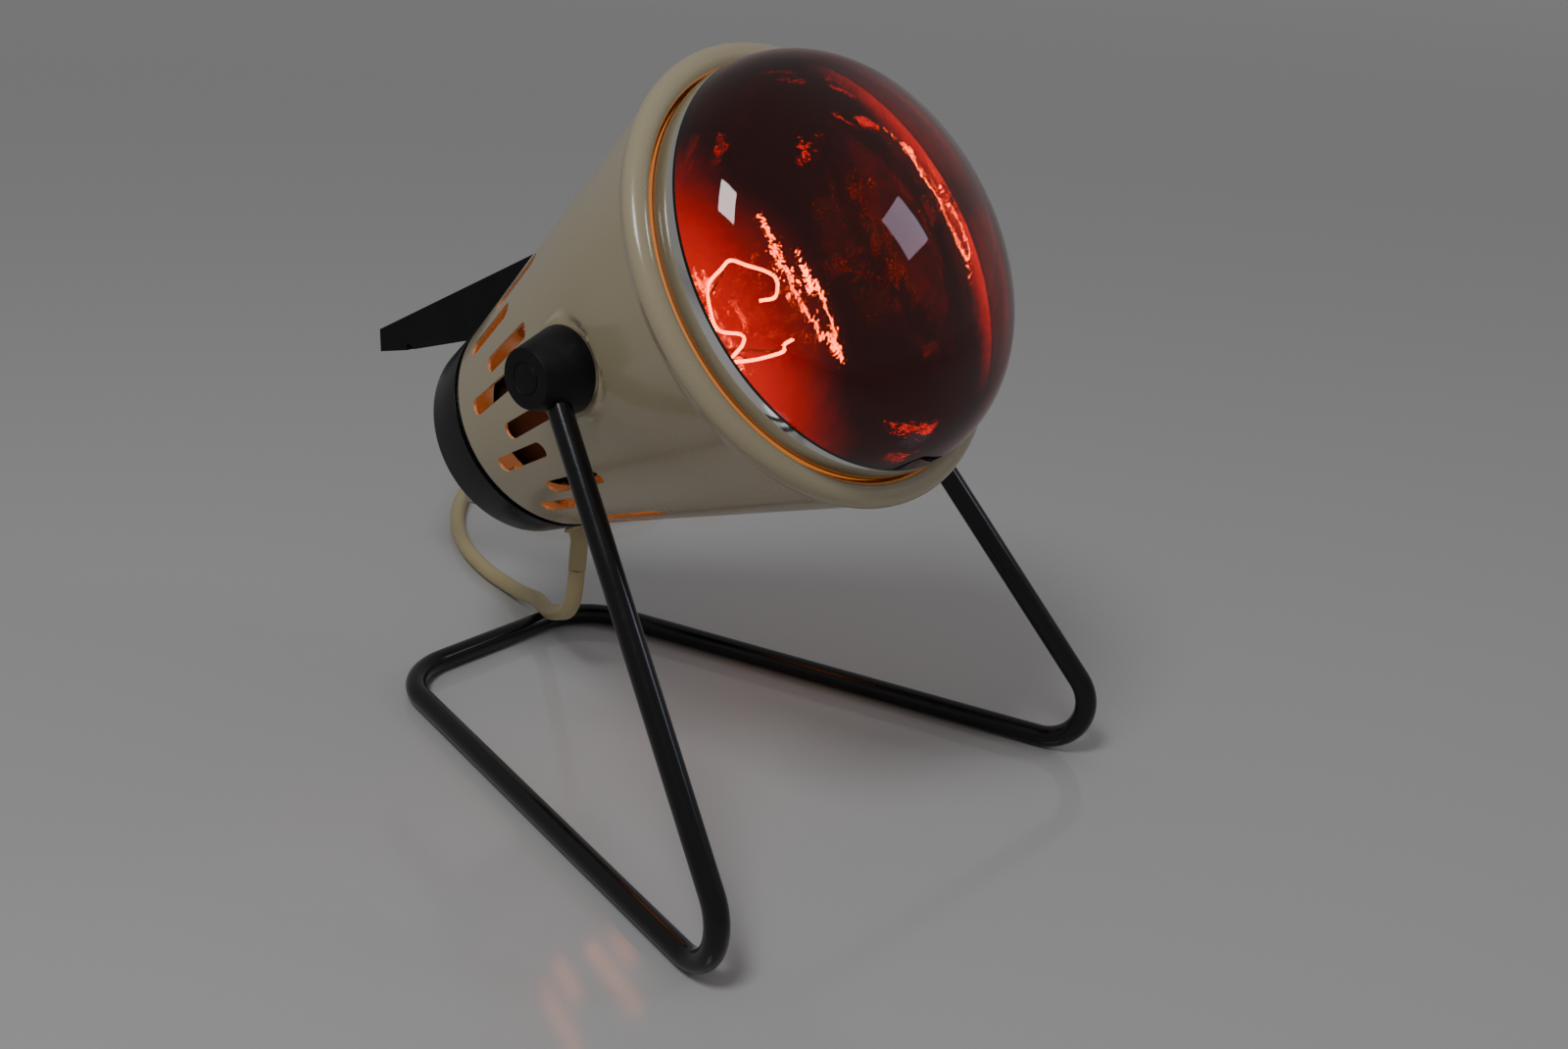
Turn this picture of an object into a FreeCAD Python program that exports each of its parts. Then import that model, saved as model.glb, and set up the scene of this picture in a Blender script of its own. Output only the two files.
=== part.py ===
import FreeCAD, Part
import math
import os
from types import SimpleNamespace

import Sketcher
from FreeCAD import Placement, Rotation, Vector

# Infrared heat therapy lamp: a conical housing with a reflector bulb that tilts between the two legs of a
# stand bent from one round rod. All lengths are millimetres, all angles degrees.
# World frame: origin on the table straight below the tilt axis, X along that axis, lamp facing -Y, Z up.
# Head frame: origin on the tilt axis, x along it, y to the handle, z forward along the bulb's axis.
# Angles round the bulb's axis start at the handle and grow towards -x.

dimensions = {
    # Stand rod, tilt axis and rest position
    "pivot_height": 141.0,
    "tilt_angle": 34.0,
    "rod_diameter": 7.2,
    "leg_past_knob_face": 6.05,
    "front_corner_out": 97.0,
    "front_corner_ahead": 115.0,
    "rear_corner_out": 43.0,
    "rear_bar_behind": 93.4,
    "front_bend": 15.0,
    "rear_bend": 24.0,
    "leg_overrun": 4.6,
    # Tilt pivot, from the centre plane outwards
    "seat_proud": 0.32,
    "seat_radius": 14.2,
    "pivot_gap": 0.15,
    "washer_radius": 12.5,
    "washer_thickness": 1.0,
    "knob_base_radius": 12.9,
    "knob_end_radius": 8.7,
    "knob_length": 14.65,
    "knob_edge_round": 0.8,
    "knob_edge_inset": 0.64,
    "knob_ring_radius": 4.6,
    "knob_ring_depth": 0.3,
    "knob_ring_width": 0.6,
    "rod_hole_gap": 0.05,
    "pivot_screw_radius": 2.0,
    "pivot_screw_gap": 0.08,
    "pivot_screw_past_leg": 2.4,
    "pivot_head_radius": 4.0,
    "pivot_head_height": 2.6,
    "pivot_head_recess": 1.0,
    "spring_washer_radius": 4.6,
    "spring_washer_thickness": 1.2,
    "spring_washer_slit_angle": 14.0,
    # Housing
    "wall": 1.0,
    "cone_half_angle": 13.62,
    "rim_ahead": 50.8,
    "rim_gap": 0.2,
    "rim_bead_proud": 0.711,
    "rim_curl_radius": 3.6,
    "rim_curl_start_angle": -75.0,
    "rim_curl_end_angle": 250.0,
    "wall_end_before_rim": 2.5,
    "flange_opening_gap": 4.5,
    "fixing_beyond_opening": 5.0,
    "vent_count": 13,
    "vent_length": 31.0,
    "vent_width": 5.4,
    "vent_rear_row_ahead": 27.8,
    "vent_front_row_ahead": 43.3,
    "vent_start_angle": -2.4,
    "vent_row_angle": 16.5,
    # Rear cap
    "cap_length": 20.1,
    "cap_groove_width": 1.0,
    "cap_groove_depth": 1.2,
    "cap_overhang": 0.314,
    "cap_taper": 3.2,
    "cap_bevel_length": 1.5,
    "cap_bevel_depth": 1.3,
    "cap_wall": 2.5,
    "cap_back_thickness": 2.8,
    "cap_boss_radius": 4.0,
    "cap_screw_count": 3,
    "cap_screw_radius": 1.95,
    "cap_screw_gap": 0.1,
    "cap_screw_past_flange": 3.0,
    "cap_head_radius": 3.6,
    "cap_head_height": 2.4,
    # Handle
    "handle_thickness": 6.0,
    "handle_gap": 0.05,
    "handle_tip_past_cap": 47.4,
    "handle_tip_rise": 19.1,
    "handle_tip_low_past_cap": 51.7,
    "handle_tip_low_rise": 12.1,
    "handle_notch_past_cap": 35.3,
    "handle_notch_half": 1.8,
    "handle_notch_radius": 2.0,
    "handle_heel_past_cap": 9.8,
    "handle_heel_rise": 3.0,
    "handle_top_ahead": 15.4,
    "handle_top_rise": 8.28,
    "handle_front_ahead": 40.6,
    "handle_screw_front_ahead": 28.8,
    "handle_screw_rear_ahead": 10.8,
    "handle_screw_radius": 1.6,
    "handle_screw_gap": 0.05,
    "handle_screw_length": 8.0,
    "handle_head_radius": 3.2,
    "handle_head_height": 2.0,
    # Bulb, a reflector bulb of 125 mm with a 27 mm screw base
    "bulb_radius": 62.5,
    "bulb_equator_ahead": 57.5,
    "bulb_shoulder": 26.0,
    "bulb_crown": 90.0,
    "bulb_taper_angle": 27.0,
    "bulb_neck_radius": 19.5,
    "bulb_neck_bend": 75.0,
    "glass_wall": 1.0,
    "dome_edge_past_equator": 3.8,
    "throat_gap": 0.35,
    "base_front": 57.0,
    "base_radius": 13.05,
    "base_wall": 0.5,
    "base_length": 23.0,
    "base_glass_depth": 5.0,
    "insulator_length": 3.5,
    "insulator_end_radius": 5.0,
    "tip_contact_radius": 4.5,
    "tip_contact_length": 1.5,
    "stem_radius": 4.0,
    "stem_front": 2.0,
    "stem_flare_inset": 2.2,
    "stem_flare_length": 13.0,
    "filament_ahead": 20.0,
    "filament_ring": 16.0,
    "filament_radius": 0.6,
    "filament_first_angle": 88.0,
    "filament_span_angle": 208.0,
    "filament_hook_count": 3,
    "lead_wire_radius": 0.5,
    "hook_wire_radius": 0.3,
    # Lampholder
    "holder_wall": 6.0,
    "holder_behind_base": 1.5,
    "holder_pad_height": 3.1,
    "holder_ledge": 2.0,
    "holder_floor": 4.5,
    "contact_room": 3.5,
    "holder_screw_inset": 3.0,
    "holder_screw_radius": 1.5,
    "holder_screw_reach": 7.0,
    "holder_head_radius": 2.8,
    "holder_head_height": 1.8,
    "holder_pad_radius": 3.6,
    "small_hole_gap": 0.05,
    "shell_thread_gap": 0.35,
    "shell_wall": 0.5,
    "shell_bore_gap": 0.1,
    "shell_front_gap": 0.5,
    "contact_width": 7.0,
    "contact_length": 19.0,
    "contact_thickness": 0.6,
    "contact_foot": 6.3,
    "contact_rise_end": 2.2,
    "terminal_out": 8.0,
    "terminal_width": 6.0,
    "terminal_depth": 5.5,
    "terminal_height": 7.5,
    "terminal_inset": 14.5,
    "terminal_gap": 0.1,
    "terminal_screw_radius": 1.2,
    "terminal_head_radius": 2.2,
    "terminal_head_height": 1.6,
    "terminal_screw_up": 5.4,
    "terminal_wire_up": 1.9,
    "wire_hole_depth": 4.0,
    # Cord entry inside the cap
    "cord_diameter": 5.8,
    "entry_behind_housing": 9.4,
    "entry_bore_gap": 0.05,
    "relief_start_inset": 6.9,
    "relief_corner_past_cap": 1.4,
    "relief_bend": 12.0,
    "relief_tail": 12.5,
    "relief_flange_radius": 5.6,
    "relief_flange_width": 1.3,
    "relief_neck_radius": 4.1,
    "relief_neck_gap": 0.1,
    "relief_collar_radius": 4.8,
    "relief_tail_radius": 3.7,
    "relief_end_radius": 3.25,
    "clamp_screw_out": 8.0,
    "clamp_inset": 10.5,
    "clamp_depth": 5.6,
    "clamp_width": 23.0,
    "clamp_cover": 2.2,
    "clamp_boss_radius": 3.0,
    "clamp_screw_radius": 1.4,
    "clamp_screw_sink": 3.5,
    "clamp_head_radius": 2.5,
    "clamp_head_height": 1.6,
    "clamp_foot_drop": 3.0,
    "cord_end_inset": 13.5,
    "core_radius": 1.0,
    "core_spread": 1.4,
    "core_straight": 2.2,
    "core_slant": 0.2,
    "core_bend": 1.1,
    "core_in_terminal": 3.2,
    "earth_core_up": 1.6,
    "earth_angle": 155.0,
    "earth_tag_radius": 3.6,
    "earth_tag_thickness": 0.8,
    "earth_screw_radius": 1.6,
    "earth_head_radius": 3.0,
    "earth_head_height": 1.8,
    "earth_screw_reach": 4.0,
    # Cord coil and plug on the table
    "coil_ring": 33.0,
    "coil_width": 23.2,
    "coil_height": 11.6,
    "coil_round": 3.5,
    "coil_x": 136.8,
    "coil_y": 190.2,
    "plug_x": 217.2,
    "plug_y": 181.8,
    "plug_turn_angle": -30.0,
    "plug_radius": 18.5,
    "plug_flange": 9.0,
    "plug_length": 36.0,
    "plug_waist_radius": 13.0,
    "plug_waist_front": 14.4,
    "plug_waist_back": 21.6,
    "plug_tail_radius": 5.0,
    "plug_tail_length": 9.0,
    "pin_radius": 2.4,
    "pin_length": 19.0,
    "pin_spacing": 19.0,
    "pin_seat": 6.0,
    "pin_root_radius": 1.9,
    "pin_shoulder_gap": 0.2,
    "pin_gap": 0.02,
    "clip_width": 6.0,
    "clip_thickness": 1.2,
    "clip_length": 12.0,
    "clip_recess": 2.4,
}

# Points of the free cord in the world frame, from the strain relief over the rear bar to the coil.
cord_points = [
    (-3.3, 49.5, 37.5),
    (-1.5, 55.8, 27.3),
    (3.0, 65.5, 20.6),
    (8.8, 76.5, 17.4),
    (14.5, 88.0, 17.0),
    (21.0, 100.5, 15.6),
    (28.5, 114.5, 8.8),
    (36.0, 133.0, 2.9),
    (44.5, 160.0, 2.9),
    (60.0, 184.5, 2.9),
    (82.0, 203.5, 2.9),
    (104.5, 215.5, 2.9),
]
# Where the cord meets the coil's middle turn, low down, and where its tail leaves it, near the top
cord_joins_coil = (128.0, 222.0, 2.9)
tail_leaves_coil = (153.3, 218.8, 8.7)
# Points of the cord's tail, from the coil up to the plug, which lies on its side
tail_points = [
    (162.0, 213.7, 9.4),
    (170.5, 208.8, 14.2),
    (178.0, 204.5, 18.5),
]


class Size:
    # A dimension as it stands now, together with the sheet expression that gives it
    def __init__(self, value, text):
        self.value = value
        self.text = text

    def __add__(self, other):
        other = as_size(other)
        return Size(self.value + other.value, f"({self.text} + {other.text})")

    def __sub__(self, other):
        other = as_size(other)
        return Size(self.value - other.value, f"({self.text} - {other.text})")

    def __mul__(self, other):
        other = as_size(other)
        return Size(self.value * other.value, f"({self.text} * {other.text})")

    def __truediv__(self, other):
        other = as_size(other)
        return Size(self.value / other.value, f"({self.text} / {other.text})")

    def __neg__(self):
        return Size(-self.value, f"(0 - {self.text})")

    __radd__ = __add__
    __rmul__ = __mul__


def as_size(number):
    if isinstance(number, Size):
        return number
    return Size(float(number), f"({float(number)})")


def sine(angle):
    return Size(math.sin(math.radians(angle.value)), f"sin({angle.text})")


def cosine(angle):
    return Size(math.cos(math.radians(angle.value)), f"cos({angle.text})")


def tangent(angle):
    return Size(math.tan(math.radians(angle.value)), f"tan({angle.text})")


def root(square):
    return Size(math.sqrt(square.value), f"sqrt({square.text})")


def squared(size):
    return size * size


document = FreeCAD.newDocument("HeatLamp")
sheet = document.addObject("Spreadsheet::Sheet", "Sizes")
for row, (name, number) in enumerate(dimensions.items(), start=1):
    sheet.set(f"A{row}", name)
    sheet.set(f"B{row}", str(number))
    sheet.setAlias(f"B{row}", name)
document.recompute()
s = SimpleNamespace(**{name: Size(float(number), f"Sizes.{name}") for name, number in dimensions.items()})


def follow(name, size):
    # A size that follows from others has a formula in the sheet
    row = len(vars(s)) + 1
    sheet.set(f"A{row}", name)
    sheet.set(f"B{row}", "=" + size.text.replace("Sizes.", ""))
    sheet.setAlias(f"B{row}", name)
    setattr(s, name, Size(size.value, "Sizes." + name))


quarter_turn = 90
# The head leans back from straight up
follow("head_turn_angle", quarter_turn + -s.tilt_angle)
# The rim closes round the bulb, and the cone runs back from the rim
cone_slope = tangent(s.cone_half_angle)
follow("rim_ring_radius", s.bulb_radius + s.rim_gap + s.rim_curl_radius)
follow("rim_cone_radius", s.rim_ring_radius + s.rim_curl_radius - s.rim_bead_proud)
follow("cone_radius", s.rim_cone_radius - cone_slope * s.rim_ahead)
# The bulb's base sets the depth of the holder, the cap and the housing
follow("bulb_throat_radius", s.base_radius - s.base_wall - s.throat_gap)
follow("stem_flare_radius", s.bulb_throat_radius - s.glass_wall - s.stem_flare_inset)
follow("shell_radius", s.base_radius + s.shell_thread_gap + s.shell_wall)
follow("holder_bore", s.shell_radius + s.shell_bore_gap)
follow("holder_well", s.holder_bore - s.holder_ledge)
follow("holder_radius", s.holder_bore + s.holder_wall)
follow("base_back", s.base_front + s.base_length)
follow("tip_back", s.base_back + s.insulator_length + s.tip_contact_length)
follow("holder_front", s.base_front + s.holder_behind_base)
follow("holder_back", s.tip_back + s.contact_room + s.holder_floor)
follow("cap_floor", s.holder_back + s.holder_pad_height)
follow("cap_back", s.cap_floor + s.cap_back_thickness)
follow("housing_back", s.cap_back - s.cap_length)
follow("holder_screw_out", s.holder_radius - s.holder_screw_inset)
# The cap follows the housing's back edge
follow("back_edge_radius", s.cone_radius - cone_slope * s.housing_back)
follow("cap_front_radius", s.back_edge_radius + s.cap_overhang)
follow("cap_back_radius", s.cap_front_radius - s.cap_taper)
follow("cap_groove_radius", s.cap_front_radius - s.cap_groove_depth)
follow("flange_opening_radius", s.holder_radius + s.flange_opening_gap)
follow("fixing_circle", s.flange_opening_radius + s.fixing_beyond_opening)
# The pivot's pieces follow one another outwards from the seat
follow("seat_face_out", s.cone_radius + s.seat_proud)
follow("washer_face", s.seat_face_out + s.pivot_gap)
follow("knob_face", s.washer_face + s.washer_thickness)
follow("leg_top_out", s.knob_face + s.leg_past_knob_face)
# The cord comes in through the underside of the cap
follow("entry_back", s.housing_back + s.entry_behind_housing)
follow("relief_start", s.cap_front_radius - s.relief_start_inset)
follow("relief_corner", s.cap_front_radius + s.relief_corner_past_cap)
follow("clamp_at", s.cap_front_radius - s.clamp_inset)
follow("cord_end_at", s.cap_front_radius - s.cord_end_inset)
follow("clamp_foot", s.entry_back + s.clamp_foot_drop)
follow("earth_x", -s.fixing_circle * sine(s.earth_angle))
follow("earth_y", s.fixing_circle * cosine(s.earth_angle))
follow("cord_radius", s.cord_diameter / 2)
document.recompute()
wall_across = s.wall / cosine(s.cone_half_angle)


def cone_at(forward):
    return s.cone_radius + cone_slope * forward


# ---- Helpers: sketches, features and placements ----

def bind(thing, field, size):
    thing.setExpression(field, as_size(size).text)


def new_body(label):
    return document.addObject("PartDesign::Body", label)


def origin_part(body, role):
    return next(feature for feature in body.Origin.OriginFeatures if feature.Role == role)


def sketch_on(body, name, plane="XZ_Plane", lift=None):
    sketch = body.newObject("Sketcher::SketchObject", name)
    sketch.AttachmentSupport = [(origin_part(body, plane), "")]
    sketch.MapMode = "FlatFace"
    if lift is not None:
        bind(sketch, "AttachmentOffset.Base.z", lift)
    return sketch


def hold(sketch, kind, geometry, place, size):
    # Ties one coordinate of a sketch point to the sheet, or puts the point on an axis where it is zero
    if size.value == 0:
        axis = -2 if kind == "DistanceX" else -1
        sketch.addConstraint(Sketcher.Constraint("PointOnObject", geometry, place, axis))
        return
    index = sketch.addConstraint(Sketcher.Constraint(kind, -1, 1, geometry, place, size.value))
    bind(sketch, f"Constraints[{index}]", size)


def arc_edge(start, end, side, radius, reach):
    # A circular edge that turns left or right on its way; reach "long" takes the way round past 180 degrees
    chord = end.sub(start)
    rise = math.sqrt(max(radius ** 2 - (chord.Length / 2) ** 2, 0.0))
    left = Vector(-chord.y, chord.x, 0).normalize()
    towards_left = (side == "left") == (reach == "short")
    centre = (start + end) * 0.5 + left * (rise if towards_left else -rise)
    first, last = (start, end) if side == "left" else (end, start)
    begin = math.atan2(first.y - centre.y, first.x - centre.x)
    finish = math.atan2(last.y - centre.y, last.x - centre.x)
    if finish <= begin:
        finish += 2 * math.pi
    return Part.ArcOfCircle(Part.Circle(centre, Vector(0, 0, 1), radius), begin, finish)


def outline(sketch, corners):
    # A closed outline. A corner is (u, v), or (u, v, side, radius[, reach]) where an arc leads to the next
    corners = [(as_size(c[0]), as_size(c[1])) + tuple(c[2:]) for c in corners]
    points = [Vector(c[0].value, c[1].value, 0) for c in corners]
    starts = []
    ends = []
    for k, corner in enumerate(corners):
        start, end = points[k], points[(k + 1) % len(points)]
        if len(corner) == 2:
            sketch.addGeometry(Part.LineSegment(start, end))
            starts.append(1)
            ends.append(2)
            continue
        side, radius = corner[2], as_size(corner[3])
        reach = corner[4] if len(corner) > 4 else "short"
        sketch.addGeometry(arc_edge(start, end, side, radius.value, reach))
        starts.append(1 if side == "left" else 2)
        ends.append(2 if side == "left" else 1)
        index = sketch.addConstraint(Sketcher.Constraint("Radius", k, radius.value))
        bind(sketch, f"Constraints[{index}]", radius)
    for k, corner in enumerate(corners):
        following = (k + 1) % len(corners)
        sketch.addConstraint(Sketcher.Constraint("Coincident", k, ends[k], following, starts[following]))
        hold(sketch, "DistanceX", k, starts[k], corner[0])
        hold(sketch, "DistanceY", k, starts[k], corner[1])
    return sketch


def rectangle(sketch, u_low, v_low, u_high, v_high):
    return outline(sketch, [(u_low, v_low), (u_high, v_low), (u_high, v_high), (u_low, v_high)])


def disc(sketch, u, v, radius):
    u, v, radius = as_size(u), as_size(v), as_size(radius)
    circle = Part.Circle(Vector(u.value, v.value, 0), Vector(0, 0, 1), radius.value)
    k = sketch.addGeometry(circle)
    hold(sketch, "DistanceX", k, 3, u)
    hold(sketch, "DistanceY", k, 3, v)
    index = sketch.addConstraint(Sketcher.Constraint("Radius", k, radius.value))
    bind(sketch, f"Constraints[{index}]", radius)
    return sketch


def turned(body, sketch, axis="V_Axis", angle=None):
    feature = body.newObject("PartDesign::Revolution", sketch.Name + "_turned")
    feature.Profile = sketch
    feature.ReferenceAxis = (sketch, [axis])
    feature.Angle = 360
    if angle is not None:
        bind(feature, "Angle", angle)
    sketch.Visibility = False
    body.Tip = feature
    return feature


def extruded(body, kind, sketch, length, symmetric=False, backwards=False):
    feature = body.newObject("PartDesign::" + kind, sketch.Name + "_" + kind.lower())
    feature.Profile = sketch
    if symmetric:
        feature.SideType = "Symmetric"
    feature.Reversed = backwards
    bind(feature, "Length", length)
    body.Tip = feature
    return feature


def ring_of_copies(body, feature, count, angle):
    pattern = body.newObject("PartDesign::PolarPattern", feature.Name + "_ring")
    pattern.Originals = [feature]
    pattern.Axis = (origin_part(body, "Z_Axis"), [""])
    bind(pattern, "Angle", angle)
    bind(pattern, "Occurrences", count)
    body.Tip = pattern
    return pattern


def cylinder(name, radius, length, x=0, y=0, z=0, along="z"):
    turns = {
        "x": Rotation(Vector(0, 1, 0), quarter_turn),
        "y": Rotation(Vector(1, 0, 0), -quarter_turn),
        "z": Rotation(),
    }
    piece = document.addObject("Part::Cylinder", name)
    bind(piece, "Radius", radius)
    bind(piece, "Height", length)
    piece.Placement = Placement(Vector(), turns[along])
    for field, size in (("x", x), ("y", y), ("z", z)):
        bind(piece, "Placement.Base." + field, size)
    return piece


def block(name, width, depth, height, x=0, y=0, z=0):
    # A box with its lowest corner at x, y, z
    piece = document.addObject("Part::Box", name)
    bind(piece, "Length", width)
    bind(piece, "Width", depth)
    bind(piece, "Height", height)
    for field, size in (("x", x), ("y", y), ("z", z)):
        bind(piece, "Placement.Base." + field, size)
    return piece


def cut(label, base, *tools):
    piece = document.addObject("Part::Cut", label)
    piece.Base = base
    piece.Tool = tools[0] if len(tools) == 1 else fused(label + "_tools", *tools)
    return piece


def fused(label, *shapes):
    piece = document.addObject("Part::MultiFuse", label)
    piece.Shapes = list(shapes)
    return piece


def grouped(label, *shapes):
    piece = document.addObject("Part::Compound", label)
    piece.Links = list(shapes)
    return piece


def in_head(piece):
    # Puts a piece that is drawn in the head frame at its place in the world frame
    piece.Placement = Placement(Vector(), Rotation(Vector(1, 0, 0), s.head_turn_angle.value))
    bind(piece, "Placement.Base.z", s.pivot_height)
    bind(piece, "Placement.Rotation.Angle", s.head_turn_angle)
    return piece


def at_pivot(piece):
    bind(piece, "Placement.Base.z", s.pivot_height)
    return piece


def head_point(x, y, z):
    turn = Rotation(Vector(1, 0, 0), s.head_turn_angle.value)
    return Vector(0, 0, s.pivot_height.value) + turn.multVec(Vector(x, y, z))


def rounded_wire(points, radii):
    # Straight runs through the points, joined at each inner point by an arc of its radius
    edges = []
    here = points[0]
    for k in range(1, len(points) - 1):
        before = (points[k - 1] - points[k]).normalize()
        after = (points[k + 1] - points[k]).normalize()
        half_turn = (math.pi - before.getAngle(after)) / 2
        reach = radii[k - 1] * math.tan(half_turn)
        start = points[k] + before * reach
        end = points[k] + after * reach
        inward = (before + after).normalize()
        centre = points[k] + inward * (radii[k - 1] / math.cos(half_turn))
        middle = centre - inward * radii[k - 1]
        edges.append(Part.LineSegment(here, start).toShape())
        edges.append(Part.Arc(start, middle, end).toShape())
        here = end
    edges.append(Part.LineSegment(here, points[-1]).toShape())
    return Part.Wire(edges)


def round_bar(wire, radius):
    start = wire.Edges[0].valueAt(wire.Edges[0].FirstParameter)
    direction = wire.Edges[0].tangentAt(wire.Edges[0].FirstParameter)
    section = Part.Wire(Part.Circle(start, direction, radius).toShape())
    return wire.makePipeShell([section], True, False)


def shaped(label, shape):
    piece = document.addObject("Part::Feature", label)
    piece.Shape = shape
    piece.Placement = Placement()
    return piece


def limp_radii(points):
    # The largest arcs that the runs beside each point leave room for
    radii = []
    for k in range(1, len(points) - 1):
        before, after = points[k] - points[k - 1], points[k + 1] - points[k]
        turn = before.getAngle(after)
        radii.append(0.45 * min(before.Length, after.Length) / math.tan(turn / 2))
    return radii


# ---- Stand ----

def leg_line(side):
    # From the tilt axis down to the front corner of one leg
    top = Vector(side * s.leg_top_out.value, 0, s.pivot_height.value)
    foot = Vector(side * s.front_corner_out.value, -s.front_corner_ahead.value, s.rod_diameter.value / 2)
    return top, foot


def stand_rod():
    radius = s.rod_diameter.value / 2
    ends = []
    for side in (-1, 1):
        top, foot = leg_line(side)
        end = top + (top - foot).normalize() * s.leg_overrun.value
        rear = Vector(side * s.rear_corner_out.value, s.rear_bar_behind.value, radius)
        ends.append([end, foot, rear])
    points = ends[0] + ends[1][::-1]
    bends = [s.front_bend.value, s.rear_bend.value, s.rear_bend.value, s.front_bend.value]
    rod = round_bar(rounded_wire(points, bends), radius)
    hole_radius = s.pivot_screw_radius.value + s.pivot_screw_gap.value
    reach = 2 * s.rod_diameter.value
    for side in (-1, 1):
        start = Vector(side * (s.leg_top_out.value - reach), 0, s.pivot_height.value)
        hole = Part.makeCylinder(hole_radius, 2 * reach, start, Vector(side, 0, 0))
        rod = rod.cut(hole)
    return shaped("stand_rod", rod)


def pivot_knob(label, side):
    body = new_body(label + "_form")
    back = side * (s.knob_face + s.knob_length)
    ring_in = s.knob_ring_radius - s.knob_ring_width / 2
    ring_out = s.knob_ring_radius + s.knob_ring_width / 2
    ring_floor = side * (s.knob_face + s.knob_length - s.knob_ring_depth)
    screw_end = side * (s.leg_top_out + s.pivot_screw_past_leg)
    bore = s.pivot_screw_radius + s.pivot_screw_gap
    slope = (s.knob_base_radius - s.knob_end_radius) / s.knob_length
    edge_start = side * (s.knob_face + s.knob_length - s.knob_edge_round)
    edge_radius = s.knob_end_radius + slope * s.knob_edge_round
    sketch = sketch_on(body, label + "_profile")
    outline(sketch, [
        (side * s.knob_face, bore),
        (side * s.knob_face, s.knob_base_radius),
        (edge_start, edge_radius),
        (back, s.knob_end_radius - s.knob_edge_inset),
        (back, ring_out),
        (ring_floor, ring_out),
        (ring_floor, ring_in),
        (back, ring_in),
        (back, 0),
        (screw_end, 0),
        (screw_end, bore),
    ])
    turned(body, sketch, "H_Axis")
    at_pivot(body)
    top, foot = leg_line(side)
    axis = (foot - top).normalize()
    hole_radius = s.rod_diameter.value / 2 + s.rod_hole_gap.value
    start = top - axis * (s.leg_overrun.value + s.rod_hole_gap.value)
    bore = Part.makeCylinder(hole_radius, top.sub(foot).Length / 2, start, axis)
    hole = shaped(label + "_rod_hole", bore)
    return cut(label, body, hole)


def pivot_screw(label, side):
    body = new_body(label)
    head_face = s.seat_face_out - s.wall - s.pivot_gap - s.spring_washer_thickness
    sketch = sketch_on(body, label + "_profile")
    recess_floor = head_face - s.pivot_head_height + s.pivot_head_recess
    outline(sketch, [
        (side * recess_floor, 0),
        (side * recess_floor, s.pivot_screw_radius),
        (side * (head_face - s.pivot_head_height), s.pivot_screw_radius),
        (side * (head_face - s.pivot_head_height), s.pivot_head_radius),
        (side * head_face, s.pivot_head_radius),
        (side * head_face, s.pivot_screw_radius),
        (side * (s.leg_top_out + s.pivot_screw_past_leg), s.pivot_screw_radius),
        (side * (s.leg_top_out + s.pivot_screw_past_leg), 0),
    ])
    turned(body, sketch, "H_Axis")
    return at_pivot(body)


def pivot_ring(label, side, face, thickness, radius, slit=None):
    body = new_body(label)
    bore = s.pivot_screw_radius + s.pivot_screw_gap
    sketch = sketch_on(body, label + "_profile")
    rectangle(sketch, side * face, bore, side * (face + thickness), radius)
    turned(body, sketch, "H_Axis", None if slit is None else 360 + -slit)
    return at_pivot(body)


def pivot_washer(label, side):
    return pivot_ring(label, side, s.washer_face, s.washer_thickness, s.washer_radius)


def pivot_spring_washer(label, side):
    face = s.seat_face_out - s.wall - s.pivot_gap - s.spring_washer_thickness
    return pivot_ring(label, side, face, s.spring_washer_thickness, s.spring_washer_radius,
                      s.spring_washer_slit_angle)


# ---- Housing ----

def housing_form(label, inside):
    # The pressed form of the housing: its outer skin, or the same skin one wall further in
    body = new_body(label)
    shrink = wall_across if inside else as_size(0)
    step = s.wall if inside else as_size(0)
    back = step - s.housing_back
    front = s.rim_ahead - s.wall_end_before_rim
    if inside:
        front = front + s.wall
    sketch = sketch_on(body, label + "_cone")
    outline(sketch, [
        (0, back),
        (cone_at(back) - shrink, back),
        (cone_at(front) - shrink, front),
        (0, front),
    ])
    turned(body, sketch)
    face = s.seat_face_out - step
    boss = sketch_on(body, label + "_boss", "YZ_Plane")
    disc(boss, 0, 0, s.seat_radius - step)
    extruded(body, "Pad", boss, 2 * face, symmetric=True)
    for side, name in ((1, "right"), (-1, "left")):
        recess = sketch_on(body, f"{label}_recess_{name}", "YZ_Plane", side * face)
        disc(recess, 0, 0, s.seat_radius + step)
        extruded(body, "Pocket", recess, s.seat_radius, backwards=side > 0)
    return body


def curl_point(radius, angle):
    return (s.rim_ring_radius + radius * cosine(angle), s.rim_ahead + radius * sine(angle))


def rolled_rim(body):
    # The wall runs on into a curl that rolls inwards and back and stays open behind
    inner = s.rim_curl_radius - s.wall
    sketch = sketch_on(body, "rim_curl")
    outline(sketch, [
        curl_point(s.rim_curl_radius, s.rim_curl_start_angle) + ("left", s.rim_curl_radius, "long"),
        curl_point(s.rim_curl_radius, s.rim_curl_end_angle),
        curl_point(inner, s.rim_curl_end_angle) + ("right", inner, "long"),
        curl_point(inner, s.rim_curl_start_angle),
    ])
    turned(body, sketch)


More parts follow.
